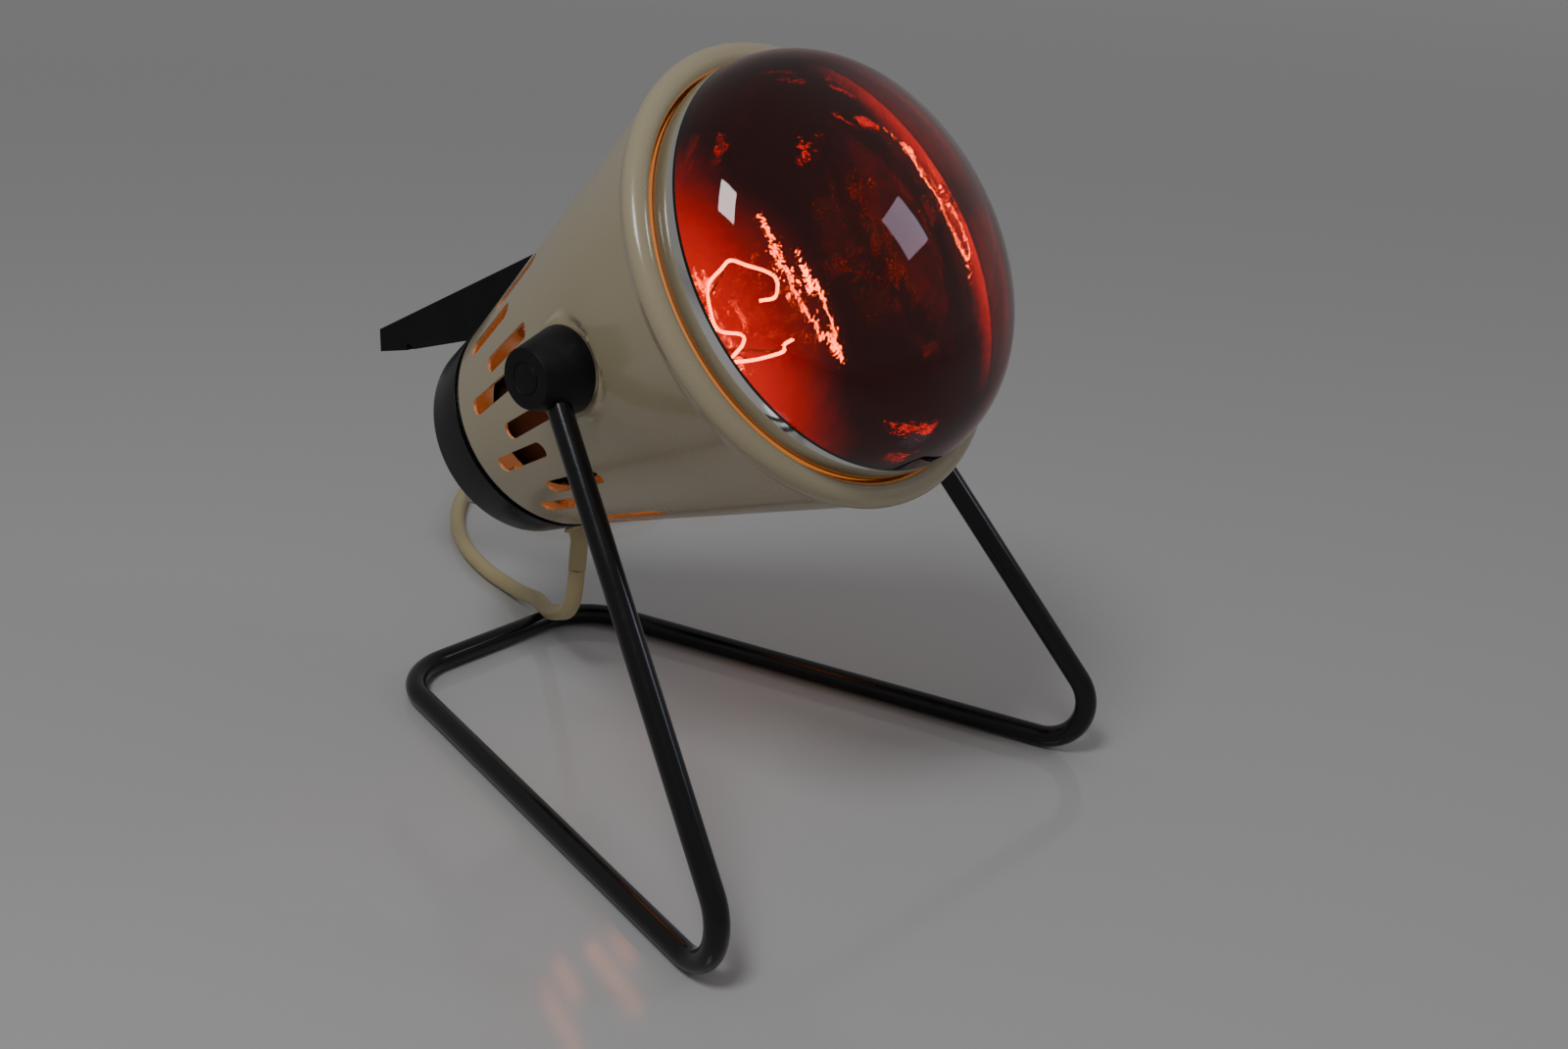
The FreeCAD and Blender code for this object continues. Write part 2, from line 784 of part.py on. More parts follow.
def vent_row(body, name, behind, first_angle, count, angle):
    # Obround slots cut outwards from the axis, their long sides along it
    sketch = sketch_on(body, name)
    offset = Rotation(Vector(0, 1, 0), first_angle.value)
    sketch.AttachmentOffset = Placement(Vector(), offset)
    bind(sketch, "AttachmentOffset.Rotation.Angle", first_angle)
    half_width = s.vent_width / 2
    straight = (s.vent_length - s.vent_width) / 2
    outline(sketch, [
        (half_width, -behind - straight),
        (half_width, -behind + straight, "left", half_width),
        (0, -behind + straight + half_width, "left", half_width),
        (-half_width, -behind + straight),
        (-half_width, -behind - straight, "left", half_width),
        (0, -behind - straight - half_width, "left", half_width),
    ])
    slot = extruded(body, "Pocket", sketch, s.rim_ring_radius)
    ring_of_copies(body, slot, count, angle)


def housing_hole(body, name, plane, u, v, radius, length, symmetric=False, backwards=False):
    sketch = sketch_on(body, name, plane)
    disc(sketch, u, v, radius)
    return extruded(body, "Pocket", sketch, length, symmetric, backwards)


def housing():
    form = cut("housing_shell", housing_form("housing_skin", False), housing_form("housing_core", True))
    document.recompute()
    body = new_body("housing")
    body.BaseFeature = form
    document.recompute()
    rolled_rim(body)
    housing_hole(body, "flange_opening", "XY_Plane", 0, 0, s.flange_opening_radius, s.housing_back)
    tapped = housing_hole(body, "tapped_hole", "XY_Plane", 0, s.fixing_circle,
                          s.cap_screw_radius + s.cap_screw_gap / 2, s.housing_back + s.wall)
    ring_of_copies(body, tapped, s.cap_screw_count, 360)
    housing_hole(body, "earth_hole", "XY_Plane", s.earth_x, s.earth_y,
                 s.earth_screw_radius + s.small_hole_gap, s.housing_back + s.wall)
    housing_hole(body, "pivot_holes", "YZ_Plane", 0, 0, s.pivot_screw_radius + s.pivot_screw_gap,
                 2 * s.rim_ring_radius, symmetric=True)
    for name, behind in handle_screw_places:
        housing_hole(body, f"handle_hole_{name}", "XZ_Plane", 0, -behind,
                     s.handle_screw_radius + s.handle_screw_gap, s.rim_ring_radius)
    pitch = as_size(360) / s.vent_count
    vent_row(body, "vent_rear", s.housing_back - s.vent_rear_row_ahead,
             s.vent_start_angle + pitch, s.vent_count - 1,
             360 + -2 * pitch)
    vent_row(body, "vent_front", s.housing_back - s.vent_front_row_ahead,
             s.vent_start_angle + s.vent_row_angle, s.vent_count,
             as_size(360))
    return in_head(body)


# ---- Rear cap and handle ----

def cap_radius_at(behind_housing):
    # Outside radius of the cap's taper at a distance behind the housing
    taper_length = s.cap_length - s.cap_groove_width - s.cap_bevel_length
    slope = (s.cap_front_radius - s.cap_back_radius) / taper_length
    return s.cap_front_radius - slope * (behind_housing - s.cap_groove_width)


def rear_cap():
    body = new_body("rear_cap_form")
    floor_depth = s.cap_floor - s.housing_back
    sketch = sketch_on(body, "cap_profile")
    outline(sketch, [
        (0, -s.cap_back),
        (s.cap_back_radius - s.cap_bevel_depth, -s.cap_back),
        (s.cap_back_radius, -s.cap_back + s.cap_bevel_length),
        (s.cap_front_radius, -s.housing_back - s.cap_groove_width),
        (s.cap_groove_radius, -s.housing_back - s.cap_groove_width),
        (s.cap_groove_radius, -s.housing_back),
        (s.cap_groove_radius - s.cap_wall, -s.housing_back),
        (cap_radius_at(floor_depth) - s.cap_wall, -s.cap_floor),
        (0, -s.cap_floor),
    ])
    turned(body, sketch)
    boss = sketch_on(body, "cap_boss", "XY_Plane", -s.cap_back)
    disc(boss, 0, s.fixing_circle, s.cap_boss_radius)
    ring_of_copies(body, extruded(body, "Pad", boss, s.cap_length), s.cap_screw_count, 360)
    hole = sketch_on(body, "cap_screw_hole", "XY_Plane")
    disc(hole, 0, s.fixing_circle, s.cap_screw_radius + s.cap_screw_gap)
    ring_of_copies(body, extruded(body, "Pocket", hole, s.cap_back + s.cap_wall),
                   s.cap_screw_count, 360)
    feet = []
    for side, name in ((1, "right"), (-1, "left")):
        feet.append(cylinder(f"holder_pad_{name}", s.holder_pad_radius, s.holder_pad_height,
                             side * s.holder_screw_out, 0, -s.cap_floor))
        feet.append(cylinder(f"clamp_boss_{name}", s.clamp_boss_radius, s.cap_floor - s.clamp_foot,
                             side * s.clamp_screw_out, -s.clamp_at, -s.cap_floor))
    solid = fused("rear_cap_solid", body, *feet)
    holes = [cylinder("cord_entry", s.relief_neck_radius + s.relief_neck_gap, s.cap_front_radius,
                      0, -s.cap_front_radius * 2 + s.relief_start, -s.entry_back, "y")]
    for side, name in ((1, "right"), (-1, "left")):
        holes.append(cylinder(f"holder_hole_{name}", s.holder_screw_radius + s.small_hole_gap,
                              s.cap_length, side * s.holder_screw_out, 0, -s.cap_back - s.cap_wall))
        holes.append(cylinder(f"clamp_hole_{name}", s.clamp_screw_radius + s.small_hole_gap,
                              s.clamp_screw_sink, side * s.clamp_screw_out, -s.clamp_at,
                              -s.clamp_foot - s.clamp_screw_sink))
    return in_head(cut("rear_cap", solid, *holes))


handle_screw_places = (("front", s.housing_back - s.handle_screw_front_ahead),
                       ("rear", s.housing_back - s.handle_screw_rear_ahead))


def handle():
    body = new_body("handle_form")
    gap = s.handle_gap
    front_back = s.housing_back - s.handle_front_ahead
    top_back = s.housing_back - s.handle_top_ahead
    tip_low = s.back_edge_radius + s.handle_tip_low_rise
    tip_low_back = s.cap_back + s.handle_tip_low_past_cap
    heel_low = s.cap_back_radius + s.handle_heel_rise
    heel_back = s.cap_back + s.handle_heel_past_cap
    notch_back = s.cap_back + s.handle_notch_past_cap
    low_rise = (tip_low - heel_low) / (tip_low_back - heel_back)
    notch_low = heel_low + low_rise * (notch_back - heel_back)
    edge_drop = low_rise * s.handle_notch_half
    cap_edge = s.cap_back - s.cap_bevel_length
    bend = (s.cap_front_radius - s.cone_radius) / cone_slope
    sketch = sketch_on(body, "handle_outline", "YZ_Plane")
    outline(sketch, [
        (cone_at(-front_back) + gap, -front_back),
        (cone_at(-top_back) + s.handle_top_rise, -top_back),
        (s.back_edge_radius + s.handle_tip_rise, -s.cap_back - s.handle_tip_past_cap),
        (tip_low, -tip_low_back),
        (notch_low + edge_drop, -notch_back - s.handle_notch_half, "left", s.handle_notch_radius),
        (notch_low - edge_drop, -notch_back + s.handle_notch_half),
        (heel_low, -heel_back),
        (s.cap_back_radius + gap, -cap_edge),
        (s.cap_front_radius + gap, -s.housing_back - s.cap_groove_width),
        (s.cap_front_radius + gap, bend),
    ])
    extruded(body, "Pad", sketch, s.handle_thickness, symmetric=True)
    holes = []
    for name, behind in handle_screw_places:
        holes.append(cylinder(f"handle_screw_hole_{name}", s.handle_screw_radius + s.handle_screw_gap,
                              s.handle_screw_length, 0, cone_at(-behind) - wall_across, -behind, "y"))
    return in_head(cut("handle", body, *holes))


def round_screw(name, x, y, z, along, shank_radius, shank_length, head_radius, head_height, facing):
    # A screw with a round head; x, y, z is the middle of the head's underside, facing the way of the shank
    middle = {"x": as_size(x), "y": as_size(y), "z": as_size(z)}
    head_at, shank_at = dict(middle), dict(middle)
    if facing > 0:
        head_at[along] = middle[along] - head_height
    else:
        shank_at[along] = middle[along] - shank_length
    head = cylinder(name + "_head", head_radius, head_height, *head_at.values(), along)
    shank = cylinder(name + "_shank", shank_radius, shank_length, *shank_at.values(), along)
    return fused(name, head, shank)


def handle_screws():
    screws = []
    for name, behind in handle_screw_places:
        seat = cone_at(-behind - s.handle_head_radius) - wall_across
        reach = s.handle_screw_length - s.handle_head_height
        screws.append(round_screw(f"handle_screw_{name}", 0, seat, -behind, "y", s.handle_screw_radius,
                                  reach, s.handle_head_radius, s.handle_head_height, 1))
    return in_head(grouped("handle_screws", *screws))


def cap_screws():
    length = s.cap_length + s.wall + s.cap_screw_past_flange
    screws = []
    for k in range(int(s.cap_screw_count.value)):
        angle = k * as_size(360) / s.cap_screw_count
        screws.append(round_screw(f"cap_screw_{k + 1}", -s.fixing_circle * sine(angle),
                                  s.fixing_circle * cosine(angle), -s.cap_back, "z", s.cap_screw_radius,
                                  length, s.cap_head_radius, s.cap_head_height, 1))
    return in_head(grouped("cap_screws", *screws))


# ---- Bulb ----

bulb_ring = s.bulb_radius - s.bulb_shoulder
crown_centre = s.bulb_equator_ahead - root(squared(s.bulb_crown - s.bulb_shoulder) - squared(bulb_ring))
dome_edge = s.bulb_equator_ahead + s.dome_edge_past_equator


def dome_edge_radius(inset):
    return bulb_ring + root(squared(s.bulb_shoulder - inset) - squared(s.dome_edge_past_equator))


def crown_start(inset):
    # Where the shoulder arc runs into the crown arc
    share = (s.bulb_crown - inset) / (s.bulb_crown - s.bulb_shoulder)
    return bulb_ring * share, crown_centre + (s.bulb_equator_ahead - crown_centre) * share


def bulb_red_dome():
    body = new_body("bulb_red_dome")
    glass = s.glass_wall
    sketch = sketch_on(body, "dome_profile")
    outline(sketch, [
        (dome_edge_radius(0), dome_edge, "left", s.bulb_shoulder),
        crown_start(0) + ("left", s.bulb_crown),
        (0, crown_centre + s.bulb_crown),
        (0, crown_centre + s.bulb_crown - glass, "right", s.bulb_crown - glass),
        crown_start(glass) + ("right", s.bulb_shoulder - glass),
        (dome_edge_radius(glass), dome_edge),
    ])
    turned(body, sketch)
    return in_head(body)


def reflector_side(inset):
    # Dome edge, taper start, neck bend start, neck start
    taper = s.bulb_taper_angle
    bend = s.bulb_neck_bend + inset
    shoulder = s.bulb_shoulder - inset
    taper_radius = bulb_ring + shoulder * cosine(taper)
    taper_place = s.bulb_equator_ahead - shoulder * sine(taper)
    bend_radius = s.bulb_neck_radius - inset + bend * (1 + -cosine(taper))
    bend_place = taper_place - (taper_radius - bend_radius) / tangent(taper)
    return (taper_radius, taper_place), (bend_radius, bend_place), bend_place - bend * sine(taper)


def bulb_reflector():
    body = new_body("bulb_reflector")
    glass = s.glass_wall
    taper_out, bend_out, neck_out = reflector_side(as_size(0))
    taper_in, bend_in, neck_in = reflector_side(glass)
    tail = -s.base_front - s.base_glass_depth
    sketch = sketch_on(body, "reflector_profile")
    outline(sketch, [
        (s.bulb_throat_radius, tail),
        (s.bulb_throat_radius, -s.base_front),
        (s.bulb_neck_radius, neck_out, "right", s.bulb_neck_bend),
        bend_out,
        taper_out + ("left", s.bulb_shoulder),
        (dome_edge_radius(0), dome_edge),
        (dome_edge_radius(glass), dome_edge, "right", s.bulb_shoulder - glass),
        taper_in,
        bend_in + ("left", s.bulb_neck_bend + glass),
        (s.bulb_neck_radius - glass, neck_in),
        (s.bulb_throat_radius - glass, -s.base_front + glass),
        (s.bulb_throat_radius - glass, tail),
    ])
    turned(body, sketch)
    return in_head(body)


def bulb_base_shell():
    body = new_body("bulb_base_shell")
    inner = s.base_radius - s.base_wall
    sketch = sketch_on(body, "base_profile")
    rectangle(sketch, inner, -s.base_back, s.base_radius, -s.base_front)
    turned(body, sketch)
    return in_head(body)


def bulb_base_insulator():
    body = new_body("bulb_base_insulator")
    sketch = sketch_on(body, "insulator_profile")
    outline(sketch, [
        (0, -s.base_back - s.insulator_length),
        (s.insulator_end_radius, -s.base_back - s.insulator_length),
        (s.base_radius - s.base_wall, -s.base_back),
        (s.base_radius - s.base_wall, -s.base_back + s.insulator_length / 2),
        (0, -s.base_back + s.insulator_length / 2),
    ])
    turned(body, sketch)
    return in_head(body)


def bulb_tip_contact():
    disc = cylinder_piece("bulb_tip_contact", s.tip_contact_radius, s.tip_contact_length, -s.tip_back)
    return in_head(disc)


def cylinder_piece(label, radius, length, behind):
    body = new_body(label)
    sketch = sketch_on(body, label + "_disc", "XY_Plane", behind)
    disc(sketch, 0, 0, radius)
    extruded(body, "Pad", sketch, length)
    return body


def bulb_stem():
    body = new_body("bulb_stem")
    tail = -s.base_front - s.base_glass_depth
    sketch = sketch_on(body, "stem_profile")
    outline(sketch, [
        (0, tail),
        (s.bulb_throat_radius - s.glass_wall, tail),
        (s.bulb_throat_radius - s.glass_wall, tail + s.glass_wall),
        (s.stem_flare_radius, tail + 2 * s.glass_wall),
        (s.stem_radius, s.stem_flare_length - s.base_front),
        (s.stem_radius, -s.stem_front - s.stem_radius, "left", s.stem_radius),
        (0, -s.stem_front),
    ])
    turned(body, sketch)
    return in_head(body)


def ring_point(angle):
    x = -s.filament_ring.value * math.sin(math.radians(angle))
    y = s.filament_ring.value * math.cos(math.radians(angle))
    return Vector(x, y, s.filament_ahead.value)


def wire_between(name, start, end, radius):
    piece = document.addObject("Part::Cylinder", name)
    bind(piece, "Radius", radius)
    piece.Height = (end - start).Length
    piece.Placement = Placement(start, Rotation(Vector(0, 0, 1), end - start))
    return piece


def filament():
    ring = document.addObject("Part::Torus", "filament")
    bind(ring, "Radius1", s.filament_ring)
    bind(ring, "Radius2", s.filament_radius)
    bind(ring, "Angle3", s.filament_span_angle)
    turn = Rotation(Vector(0, 0, 1), s.filament_first_angle.value)
    ring.Placement = Placement(Vector(0, 0, s.filament_ahead.value), turn)
    return in_head(grouped("bulb_filament", ring))


def bulb_lead_wires():
    # Two wires from the stem's sides to the ends of the filament
    first = s.filament_first_angle.value - quarter_turn
    wires = []
    for name, angle in (("a", first), ("b", first + s.filament_span_angle.value)):
        end = ring_point(angle) - Vector(0, 0, s.filament_radius.value)
        side = Vector(end.x, end.y, 0).normalize()
        start = side * (s.stem_radius.value - s.lead_wire_radius.value)
        start.z = -s.stem_front.value - s.stem_radius.value
        wires.append(wire_between("lead_wire_" + name, start, end, s.lead_wire_radius))
    return in_head(grouped("bulb_lead_wires", *wires))


def filament_supports():
    # Hooks from the stem's tip, evenly spaced along the filament between its ends
    count = int(s.filament_hook_count.value)
    first = s.filament_first_angle.value - quarter_turn
    hooks = []
    for k in range(count):
        angle = first + s.filament_span_angle.value * (k + 1) / (count + 1)
        end = ring_point(angle) - Vector(0, 0, s.filament_radius.value)
        start = Vector(0, 0, -s.stem_front.value - s.stem_radius.value / 2)
        hooks.append(wire_between(f"hook_{k + 1}", start, end, s.hook_wire_radius))
    return in_head(grouped("filament_supports", *hooks))


# ---- Lampholder ----

def holder_body():
    body = new_body("holder_form")
    well_floor = -s.holder_back + s.holder_floor
    ledge = -s.base_back - s.shell_front_gap
    sketch = sketch_on(body, "holder_profile")
    outline(sketch, [
        (0, -s.holder_back),
        (s.holder_radius, -s.holder_back),
        (s.holder_radius, -s.holder_front),
        (s.holder_bore, -s.holder_front),
        (s.holder_bore, ledge),
        (s.holder_well, ledge),
        (s.holder_well, well_floor),
        (0, well_floor),
    ])
    turned(body, sketch)
    tools = []
    room = s.terminal_gap
    for side, name in ((1, "right"), (-1, "left")):
        tools.append(cylinder(f"holder_screw_hole_{name}", s.holder_screw_radius + s.small_hole_gap,
                              s.holder_screw_reach, side * s.holder_screw_out, 0, -s.holder_back))
        tools.append(block(f"terminal_recess_{name}", s.terminal_width + 2 * room, s.holder_radius,
                           s.terminal_height + room, side * s.terminal_out - s.terminal_width / 2 - room,
                           -s.terminal_inset - s.holder_radius + room, -s.holder_back))
    return in_head(cut("holder_body", body, *tools))


def holder_shell():
    body = new_body("holder_shell")
    sketch = sketch_on(body, "shell_profile")
    ledge = -s.base_back - s.shell_front_gap
    rectangle(sketch, s.shell_radius - s.shell_wall, ledge, s.shell_radius,
              -s.holder_front - s.shell_front_gap)
    turned(body, sketch)
    return in_head(body)


def holder_centre_contact():
    # A springy tongue, riveted at one side of the well and bent up under the bulb's tip
    body = new_body("holder_centre_contact")
    floor = -s.holder_back + s.holder_floor
    top = -s.tip_back
    half = s.contact_length / 2
    leaf = s.contact_thickness
    sketch = sketch_on(body, "contact_profile")
    outline(sketch, [
        (-half, floor),
        (s.contact_foot - half, floor),
        (s.contact_rise_end, top - leaf),
        (half - leaf, top - leaf),
        (half - leaf, top),
        (s.contact_rise_end - leaf, top),
        (s.contact_foot - half - leaf, floor + leaf),
        (-half, floor + leaf),
    ])
    extruded(body, "Pad", sketch, s.contact_width, symmetric=True)
    return in_head(body)


def holder_screws():
    length = s.cap_back_thickness + s.holder_pad_height + s.holder_screw_reach - s.small_hole_gap
    screws = []
    for side, name in ((1, "right"), (-1, "left")):
        screws.append(round_screw(f"holder_screw_{name}", side * s.holder_screw_out, 0, -s.cap_back, "z",
                                  s.holder_screw_radius, length, s.holder_head_radius,
                                  s.holder_head_height, 1))
    return in_head(grouped("holder_screws", *screws))


terminal_face = -s.terminal_inset - s.terminal_depth
terminal_foot = -s.holder_back + s.terminal_gap
terminal_screw_at = terminal_foot + s.terminal_screw_up
terminal_wire_at = terminal_foot + s.terminal_wire_up


def terminal_block(side, name):
    form = block(f"terminal_form_{name}", s.terminal_width, s.terminal_depth, s.terminal_height,
                 side * s.terminal_out - s.terminal_width / 2, terminal_face, terminal_foot)
    screw_hole = cylinder(f"terminal_thread_{name}", s.terminal_screw_radius + s.small_hole_gap,
                          s.terminal_depth, side * s.terminal_out, terminal_face, terminal_screw_at, "y")
    wire_hole = cylinder(f"terminal_wire_hole_{name}", s.core_radius + s.small_hole_gap, s.wire_hole_depth,
                         side * s.terminal_out, terminal_face, terminal_wire_at, "y")
    return cut(f"terminal_{name}", form, screw_hole, wire_hole)


def holder_terminals():
    return in_head(grouped("holder_terminals", terminal_block(1, "right"), terminal_block(-1, "left")))


def terminal_screws():
    screws = []
    for side, name in ((1, "right"), (-1, "left")):
        screws.append(round_screw(f"terminal_screw_{name}", side * s.terminal_out, terminal_face,
                                  terminal_screw_at, "y", s.terminal_screw_radius,
                                  s.terminal_depth - s.small_hole_gap, s.terminal_head_radius,
                                  s.terminal_head_height, 1))
    return in_head(grouped("terminal_screws", *screws))


# ---- Cord entry ----

def head_coordinates(point):
    turn = Rotation(Vector(1, 0, 0), s.head_turn_angle.value)
    return turn.inverted().multVec(point - Vector(0, 0, s.pivot_height.value))


def entry_point(down):
    # A point of the cord's way through the cap's underside, in the head frame
    return Vector(0, -down.value, -s.entry_back.value)


def entry_end():
    # The end of the strain relief, which bends from the cap's underside towards the free cord
    corner = entry_point(s.relief_corner)
    onward = (head_coordinates(Vector(*cord_points[0])) - corner).normalize()
    return corner + onward * s.relief_tail.value


def entry_wire(down):
    points = [entry_point(down), entry_point(s.relief_corner), entry_end()]
    return rounded_wire(points, [s.relief_bend.value])


def strain_relief():
    # A bush held in the cap's wall by its flange and collar, with a tapered tail that bends with the cord
    body = new_body("relief_bush")
    wall_out = -cap_radius_at(s.entry_back - s.relief_collar_radius - s.housing_back) - s.relief_neck_gap
    flange_end = -s.relief_start - s.relief_flange_width
    sketch = sketch_on(body, "relief_profile", "YZ_Plane")
    outline(sketch, [
        (-s.relief_start, 0),
        (-s.relief_start, s.relief_flange_radius),
        (flange_end, s.relief_flange_radius),
        (flange_end, s.relief_neck_radius),
        (wall_out, s.relief_neck_radius),
        (wall_out, s.relief_collar_radius),
        (wall_out - s.relief_flange_width / 2, s.relief_collar_radius),
        (wall_out - s.relief_flange_width, s.relief_tail_radius),
        (wall_out - s.relief_flange_width, 0),
    ])
    turned(body, sketch, "H_Axis")
    bind(body, "Placement.Base.z", -s.entry_back)
    way = entry_wire(s.relief_start + s.relief_flange_width)
    last = way.Edges[-1]
    sections = []
    for edge, parameter, radius in ((way.Edges[0], way.Edges[0].FirstParameter, s.relief_tail_radius),
                                    (last, last.LastParameter, s.relief_end_radius)):
        circle = Part.Circle(edge.valueAt(parameter), edge.tangentAt(parameter), radius.value)
        sections.append(Part.Wire(circle.toShape()))
    tail = shaped("relief_tail", way.makePipeShell(sections, True, False))
    bore_way = rounded_wire([entry_point(s.relief_start - s.relief_flange_width),
                             entry_point(s.relief_corner),
                             entry_end() + (entry_end() - entry_point(s.relief_corner)).normalize()],
                            [s.relief_bend.value])
    bore = shaped("relief_bore", round_bar(bore_way, s.cord_radius.value + s.entry_bore_gap.value))
    return in_head(cut("strain_relief", fused("relief_form", body, tail), bore))


def cord_inner_end():
    return in_head(shaped("cord_inner_end", round_bar(entry_wire(s.cord_end_at), s.cord_radius.value)))


def cord_clamp():
    # A saddle over the cord, its feet on the two bosses of the cap
    tunnel = s.cord_radius
    height = s.clamp_foot_drop + s.cord_radius + s.clamp_cover
    low_y = -s.clamp_at - s.clamp_depth / 2
    form = block("clamp_form", s.clamp_width, s.clamp_depth, height,
                 -s.clamp_width / 2, low_y, -s.clamp_foot)
    room = cylinder("clamp_tunnel", tunnel, s.clamp_depth * 2, 0, low_y - s.clamp_depth / 2,
                    -s.entry_back, "y")
    opening = block("clamp_mouth", 2 * tunnel, s.clamp_depth * 2, s.clamp_foot_drop, -tunnel,
                    low_y - s.clamp_depth / 2, -s.clamp_foot)
    tools = [room, opening]
    step = height - s.clamp_cover
    for side, name in ((1, "right"), (-1, "left")):
        outer = s.clamp_width / 2 - tunnel - s.clamp_cover
        start = (tunnel + s.clamp_cover) if side > 0 else -s.clamp_width / 2
        tools.append(block(f"clamp_step_{name}", outer, s.clamp_depth * 2, step, start,
                           low_y - s.clamp_depth / 2, -s.clamp_foot + s.clamp_cover))
        tools.append(cylinder(f"clamp_screw_hole_{name}", s.clamp_screw_radius + s.small_hole_gap, height,
                              side * s.clamp_screw_out, -s.clamp_at, -s.clamp_foot - s.clamp_cover))
    return in_head(cut("cord_clamp", form, *tools))


def clamp_screws():
    screws = []
    length = s.clamp_cover + s.clamp_screw_sink - s.small_hole_gap
    for side, name in ((1, "right"), (-1, "left")):
        screws.append(round_screw(f"clamp_screw_{name}", side * s.clamp_screw_out, -s.clamp_at,
                                  -s.clamp_foot + s.clamp_cover, "z", s.clamp_screw_radius, length,
                                  s.clamp_head_radius, s.clamp_head_height, -1))
    return in_head(grouped("clamp_screws", *screws))


def core_lead(label, side):
    # One insulated core from the cord's end across to its terminal
    start_x = side * s.core_spread.value
    start_y = -s.cord_end_at.value
    end_x = side * s.terminal_out.value
    end_y = terminal_face.value + s.core_in_terminal.value
    low, high = -s.entry_back.value, terminal_wire_at.value
    turn_y = start_y + s.core_straight.value
    points = [
        Vector(start_x, start_y, low),
        Vector(start_x, turn_y, low),
        Vector(end_x, turn_y + s.core_slant.value, high),
        Vector(end_x, end_y, high),
    ]
    lead = round_bar(rounded_wire(points, 2 * [s.core_bend.value]), s.core_radius.value)
    return in_head(shaped(label, lead))


def earth_tag():
    under = -s.housing_back - s.earth_tag_thickness
    eye = cylinder("earth_eye", s.earth_tag_radius, s.earth_tag_thickness, s.earth_x, s.earth_y, under)
    tail = block("earth_tail", 2 * s.earth_tag_radius, s.earth_tag_radius, s.earth_tag_thickness,
                 s.earth_x, s.earth_y - s.earth_tag_radius / 2, under)
    hole = cylinder("earth_tag_hole", s.earth_screw_radius + s.small_hole_gap, 3 * s.earth_tag_thickness,
                    s.earth_x, s.earth_y, under - s.earth_tag_thickness)
    return in_head(cut("earth_tag", fused("earth_tag_form", eye, tail), hole))


def earth_screw():
    under = -s.housing_back - s.earth_tag_thickness
    screw = round_screw("earth_screw_form", s.earth_x, s.earth_y, under, "z", s.earth_screw_radius,
                        s.earth_screw_reach, s.earth_head_radius, s.earth_head_height, 1)
    return in_head(grouped("earth_screw", screw))


def earth_lead():
    # The earth core rises from the cord's end to the tail of the tag
    radius = s.core_radius.value
    tail_x = s.earth_x.value + 2 * s.earth_tag_radius.value - radius
    under = -s.housing_back.value - s.earth_tag_thickness.value - radius
    start = Vector(0, -s.cord_end_at.value, s.earth_core_up.value - s.entry_back.value)
    points = [
        start,
        start + Vector(0, s.core_straight.value, 0),
        Vector(tail_x / 2, start.y + s.core_straight.value - s.core_slant.value, (under + start.z) / 2),
        Vector(tail_x, s.earth_y.value, under),
    ]
    lead = round_bar(rounded_wire(points, limp_radii(points)), radius)
    return in_head(shaped("earth_lead", lead))


# ---- Free cord, coil and plug ----

def free_cord(label, points):
    radii = limp_radii(points)
    tube = round_bar(rounded_wire(points, radii), s.cord_radius.value)
    length = rounded_wire(points, radii).Length
    section = math.pi * s.cord_radius.value ** 2
    print(label, "arc radii", [round(radius, 1) for radius in radii])
    print(label, "length", round(length, 1), "volume over section", round(tube.Volume / section, 1))
    return shaped(label, tube)


def cord_lead():
    start = entry_end()
    places = cord_points + [cord_joins_coil]
    points = [head_point(start.x, start.y, start.z)] + [Vector(*place) for place in places]
    return free_cord("cord_lead", points)


def cord_coil():
    body = new_body("cord_coil")
    half, corner = s.coil_width / 2, s.coil_round
    low, high = as_size(0), s.coil_height
    inner, outer = s.coil_ring - half, s.coil_ring + half
    sketch = sketch_on(body, "coil_section")
    outline(sketch, [
        (inner + corner, low),
        (outer - corner, low, "left", corner),
        (outer, low + corner),
        (outer, high - corner, "left", corner),
        (outer - corner, high),
        (inner + corner, high, "left", corner),
        (inner, high - corner),
        (inner, low + corner, "left", corner),
    ])
    turned(body, sketch)
    bind(body, "Placement.Base.x", s.coil_x)
    bind(body, "Placement.Base.y", s.coil_y)
    return body


def on_plug(piece):
    # The plug lies on its side; its own z axis runs from the cord to the pins
    lying = Rotation(Vector(0, 1, 0), quarter_turn)
    turn = Rotation(Vector(0, 0, 1), s.plug_turn_angle.value).multiply(lying)
    piece.Placement = Placement(Vector(), turn)
    bind(piece, "Placement.Base.x", s.plug_x)
    bind(piece, "Placement.Base.y", s.plug_y)
    bind(piece, "Placement.Base.z", s.plug_radius)
    return piece


def cord_tail():
    turn = Rotation(Vector(0, 0, 1), s.plug_turn_angle.value)
    base = Vector(s.plug_x.value, s.plug_y.value, s.plug_radius.value)
    end = base + turn.multVec(Vector(-s.plug_length.value, 0, 0))
    points = [Vector(*place) for place in [tail_leaves_coil] + tail_points] + [end]
    return free_cord("cord_tail", points)


